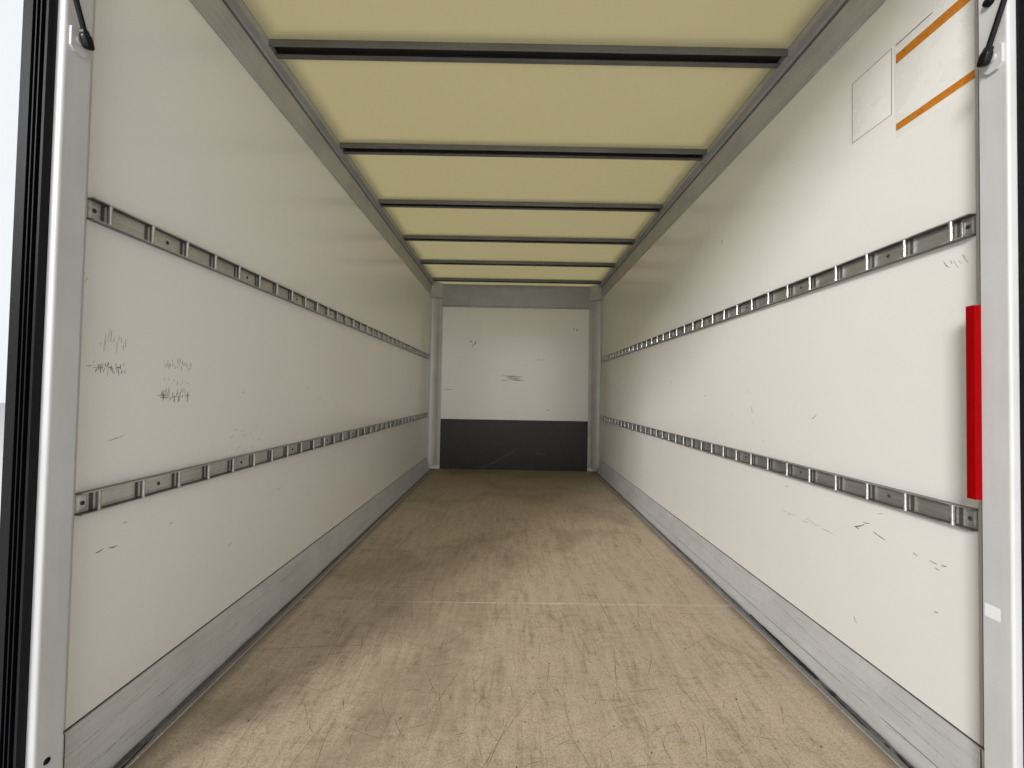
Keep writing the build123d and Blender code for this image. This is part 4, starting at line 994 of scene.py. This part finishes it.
def deckScores():
    # Long scores mostly run along the floor, short ones every way, with chips between
    rng = np.random.default_rng(23)
    one = scoreSet["floor"]
    for name, groups, finish in (
        ("floorScores", "deck", "score"), ("floorScoresBrown", "brown", "scoreBrown"),
    ):
        grids = []
        for count, shortest, longest, angle, spread, width, bend in scoreSet[groups]:
            far = along(reached(rng, count, one["reach"]))
            across = rng.uniform(*one["across"], count)
            lengths = rng.uniform(shortest, longest, count)
            turns = angle + rng.normal(0, spread, count)
            widths = width * rng.uniform(*one["widths"], count)
            bends = rng.normal(0, bend, count)
            x, y, h = strokeGrid(across, far, lengths, widths, turns, bends, one["rise"], 13)
            grids.append((points(x, y, floorZ + h), False))
        makePiece(name, grids, finish)


wallMarks()
deckScores()
kickScratches()
print("marks placed")

# Fittings inside the portal posts: side, along, height, radius, points round and outline
fittingSet = {
    "postPlug_left": (-1, 0.023, 0.157, 0.0065, 24, [
        (0, 0.0002), (0.62, 0.0002), (0.66, 0.0012), (0.95, 0.0012), (1.0, 0.0006), (1.0, 0)]),
    "postBuffer_right": (1, 0.030, 1.785, 0.009, 20, [
        (0, 0.012), (0.5, 0.0115), (0.85, 0.0095), (1.0, 0.006), (1.0, 0)]),
}


def postFittings():
    for name, (sign, y, z, radius, count, outline) in fittingSet.items():
        base = np.array([sign * postX, along(y), above(z)])
        form = turned(outline, radius, count, (-sign, 0, 0), base)
        makePiece(name, [(form, True)], "rubber")


# A sealing bead where each wall meets the portal, with a dark line beside it: place, width, rise
beadSet = {
    "ends": [kickTopZ + 0.004, roofZ - 0.152],
    "dark": (0.0980, 0.0013, 0.0007), "pale": (0.1024, 0.0060, 0.0011),
}


def postBeads():
    for name, kind, finish, slot in (
        ("postBeadLines", "dark", "sealant", "seal_rubber"), ("postBeads", "pale", "portal", "portal_steel"),
    ):
        y, width, rise = beadSet[kind]
        ring = bead(rise, width)
        runs = []
        for side, sign in sides:
            profile = points(sign * (wallX - ring[:, 1]), along(y) + ring[:, 0])
            runs.append((run(profile, beadSet["ends"])[..., [0, 2, 1]], True))
        makePiece(name, runs, finish)


postFittings()
postBeads()
print("signs and fittings placed")

# Rivets outside: rows along the body low and high, and up the rear and front posts
rivetSet = {
    "radius": 0.0048, "rise": 0.0021, "pitch": 0.125, "sides": 8,
    "dome": [(1, 0), (0.97, 0.45), (0.7, 0.85), (0, 1)],
    "rowEnds": (0.16, 0.20), "underRail": 0.016, "underRoof": 0.048,
    "postEnds": (0.12, 0.14), "rearPost": 0.076, "frontPost": 0.070,
}


def rivets():
    its = rivetSet
    dome = lathe(its["dome"], its["radius"], its["rise"], its["sides"])
    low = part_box("side_rail_right")
    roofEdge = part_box("cant_rail_right")
    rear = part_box("rear_post_right")
    rowStart, rowEnd = its["rowEnds"]
    postLow, postHigh = its["postEnds"]
    ys = np.arange(low[0][1] + rowStart, low[1][1] - rowEnd, its["pitch"])
    zs = np.arange(floorZ + postLow, roofZ - postHigh, its["pitch"])
    heads = []
    for side, sign in sides:
        rows = [points(low[1][0], ys, low[1][2] - its["underRail"]),
                points(roofEdge[1][0], ys, roofZ - its["underRoof"]),
                points(rear[1][0], along(its["rearPost"]), zs),
                points(rear[1][0], frontY - its["frontPost"], zs)]
        out = stood(dome, (sign, 0, 0))
        heads += [(copied(out, row * (sign, 1, 1)), True) for row in rows]
    makePiece("edgeRivets", heads, "screw")


rivets()
print("rivets placed")

# Camera at the photograph's place, just behind the portal
cameraSet = {
    "place": (-0.041, along(-0.828), above(0.925)),
    "yaw": 0.076, "pitch": 1.272, "roll": 1.018,
    "focalPixels": 407.7, "widthPixels": 1024, "sensor": 36, "nearest": 0.02,
}


def cameraTurn(yaw, pitch, roll):
    # Right, up and backward directions as the columns of a turn, from angles in degrees
    yaw, pitch, roll = np.radians([yaw, pitch, roll])
    ahead = np.array([math.sin(yaw) * math.cos(pitch), math.cos(yaw) * math.cos(pitch), math.sin(pitch)])
    level = np.array([math.cos(yaw), -math.sin(yaw), 0])
    upright = np.cross(level, ahead)
    right = math.cos(roll) * level + math.sin(roll) * upright
    up = -math.sin(roll) * level + math.cos(roll) * upright
    return np.column_stack([right, up, -ahead])


def posed(place, directions):
    # A pose from its place and its three directions, given as columns
    pose = np.eye(4)
    pose[:3, :3] = directions
    pose[:3, 3] = place
    return Matrix(pose.tolist())


def makeCamera():
    its = cameraSet
    data = bpy.data.cameras.new("photoCamera")
    data.sensor_width = its["sensor"]
    data.lens = its["sensor"] * its["focalPixels"] / its["widthPixels"]
    data.clip_start = its["nearest"]
    camera = added("photoCamera", data)
    turn = cameraTurn(its["yaw"], its["pitch"], its["roll"])
    camera.matrix_world = posed(its["place"], turn)
    bpy.context.scene.camera = camera


# Lamps, world and floor. The backdrop is brighter where it shows than where it lights
lampSet = {
    "key": {
        "place": (-12.6, along(-17.9), 9.2), "aim": (0.3, along(0.6), 1.2), "size": 5.5, "watts": 5600,
    },
    "behind": {
        "place": (1.4, along(-6.5), 1.9), "aim": (-0.2, along(3.0), 1.2), "size": 5.0, "watts": 168,
    },
    "overhead": {"place": (-1.0, 0.0, 8.0), "aim": (0.0, 0.4, 2.0), "size": 6.0, "watts": 160},
}
studioSet = {
    "sky": (0.95, 0.97, 1.0, 1), "lights": 0.64, "shows": 0.95,
    "span": 30, "floor": (0.74, 0.74, 0.73),
}


def makeLamps():
    for name, one in lampSet.items():
        light = bpy.data.lights.new(name, "AREA")
        light.size = one["size"]
        light.energy = one["watts"]
        back = np.subtract(one["place"], one["aim"])
        back = back / np.linalg.norm(back)
        across = np.cross([0, 0, 1], back)
        across = across / np.linalg.norm(across)
        directions = np.column_stack([across, np.cross(back, across), back])
        added(name, light).matrix_world = posed(one["place"], directions)


def makeStudio():
    world = bpy.data.worlds.new("studio")
    bpy.context.scene.world = world
    world.use_nodes = True
    sky = Tree(world.node_tree)
    camera, glossy, through = [
        sky.add("ShaderNodeLightPath", {}, {}, "Is " + kind + " Ray")
        for kind in ("Camera", "Glossy", "Transmission")
    ]
    shown = camera.most(glossy).most(through)
    between = {"Value": shown, "To Min": studioSet["lights"], "To Max": studioSet["shows"]}
    strength = sky.add("ShaderNodeMapRange", {}, between)
    backdrop = sky.tree.nodes["Background"]
    backdrop.inputs["Color"].default_value = studioSet["sky"]
    sky.tree.links.new(strength.socket, backdrop.inputs["Strength"])
    mesh = bpy.data.meshes.new("studioFloor")
    span = studioSet["span"]
    corners = [(-span, -span, 0), (span, -span, 0), (span, span, 0), (-span, span, 0)]
    mesh.from_pydata(corners, [], [(0, 1, 2, 3)])
    studioFloor = added("studioFloor", mesh)
    mesh.materials.append(plain("paleFloor", studioSet["floor"], 3, 0.03, 0.7))


makeCamera()
makeLamps()
makeStudio()

bpy.context.scene.view_settings.view_transform = "Standard"
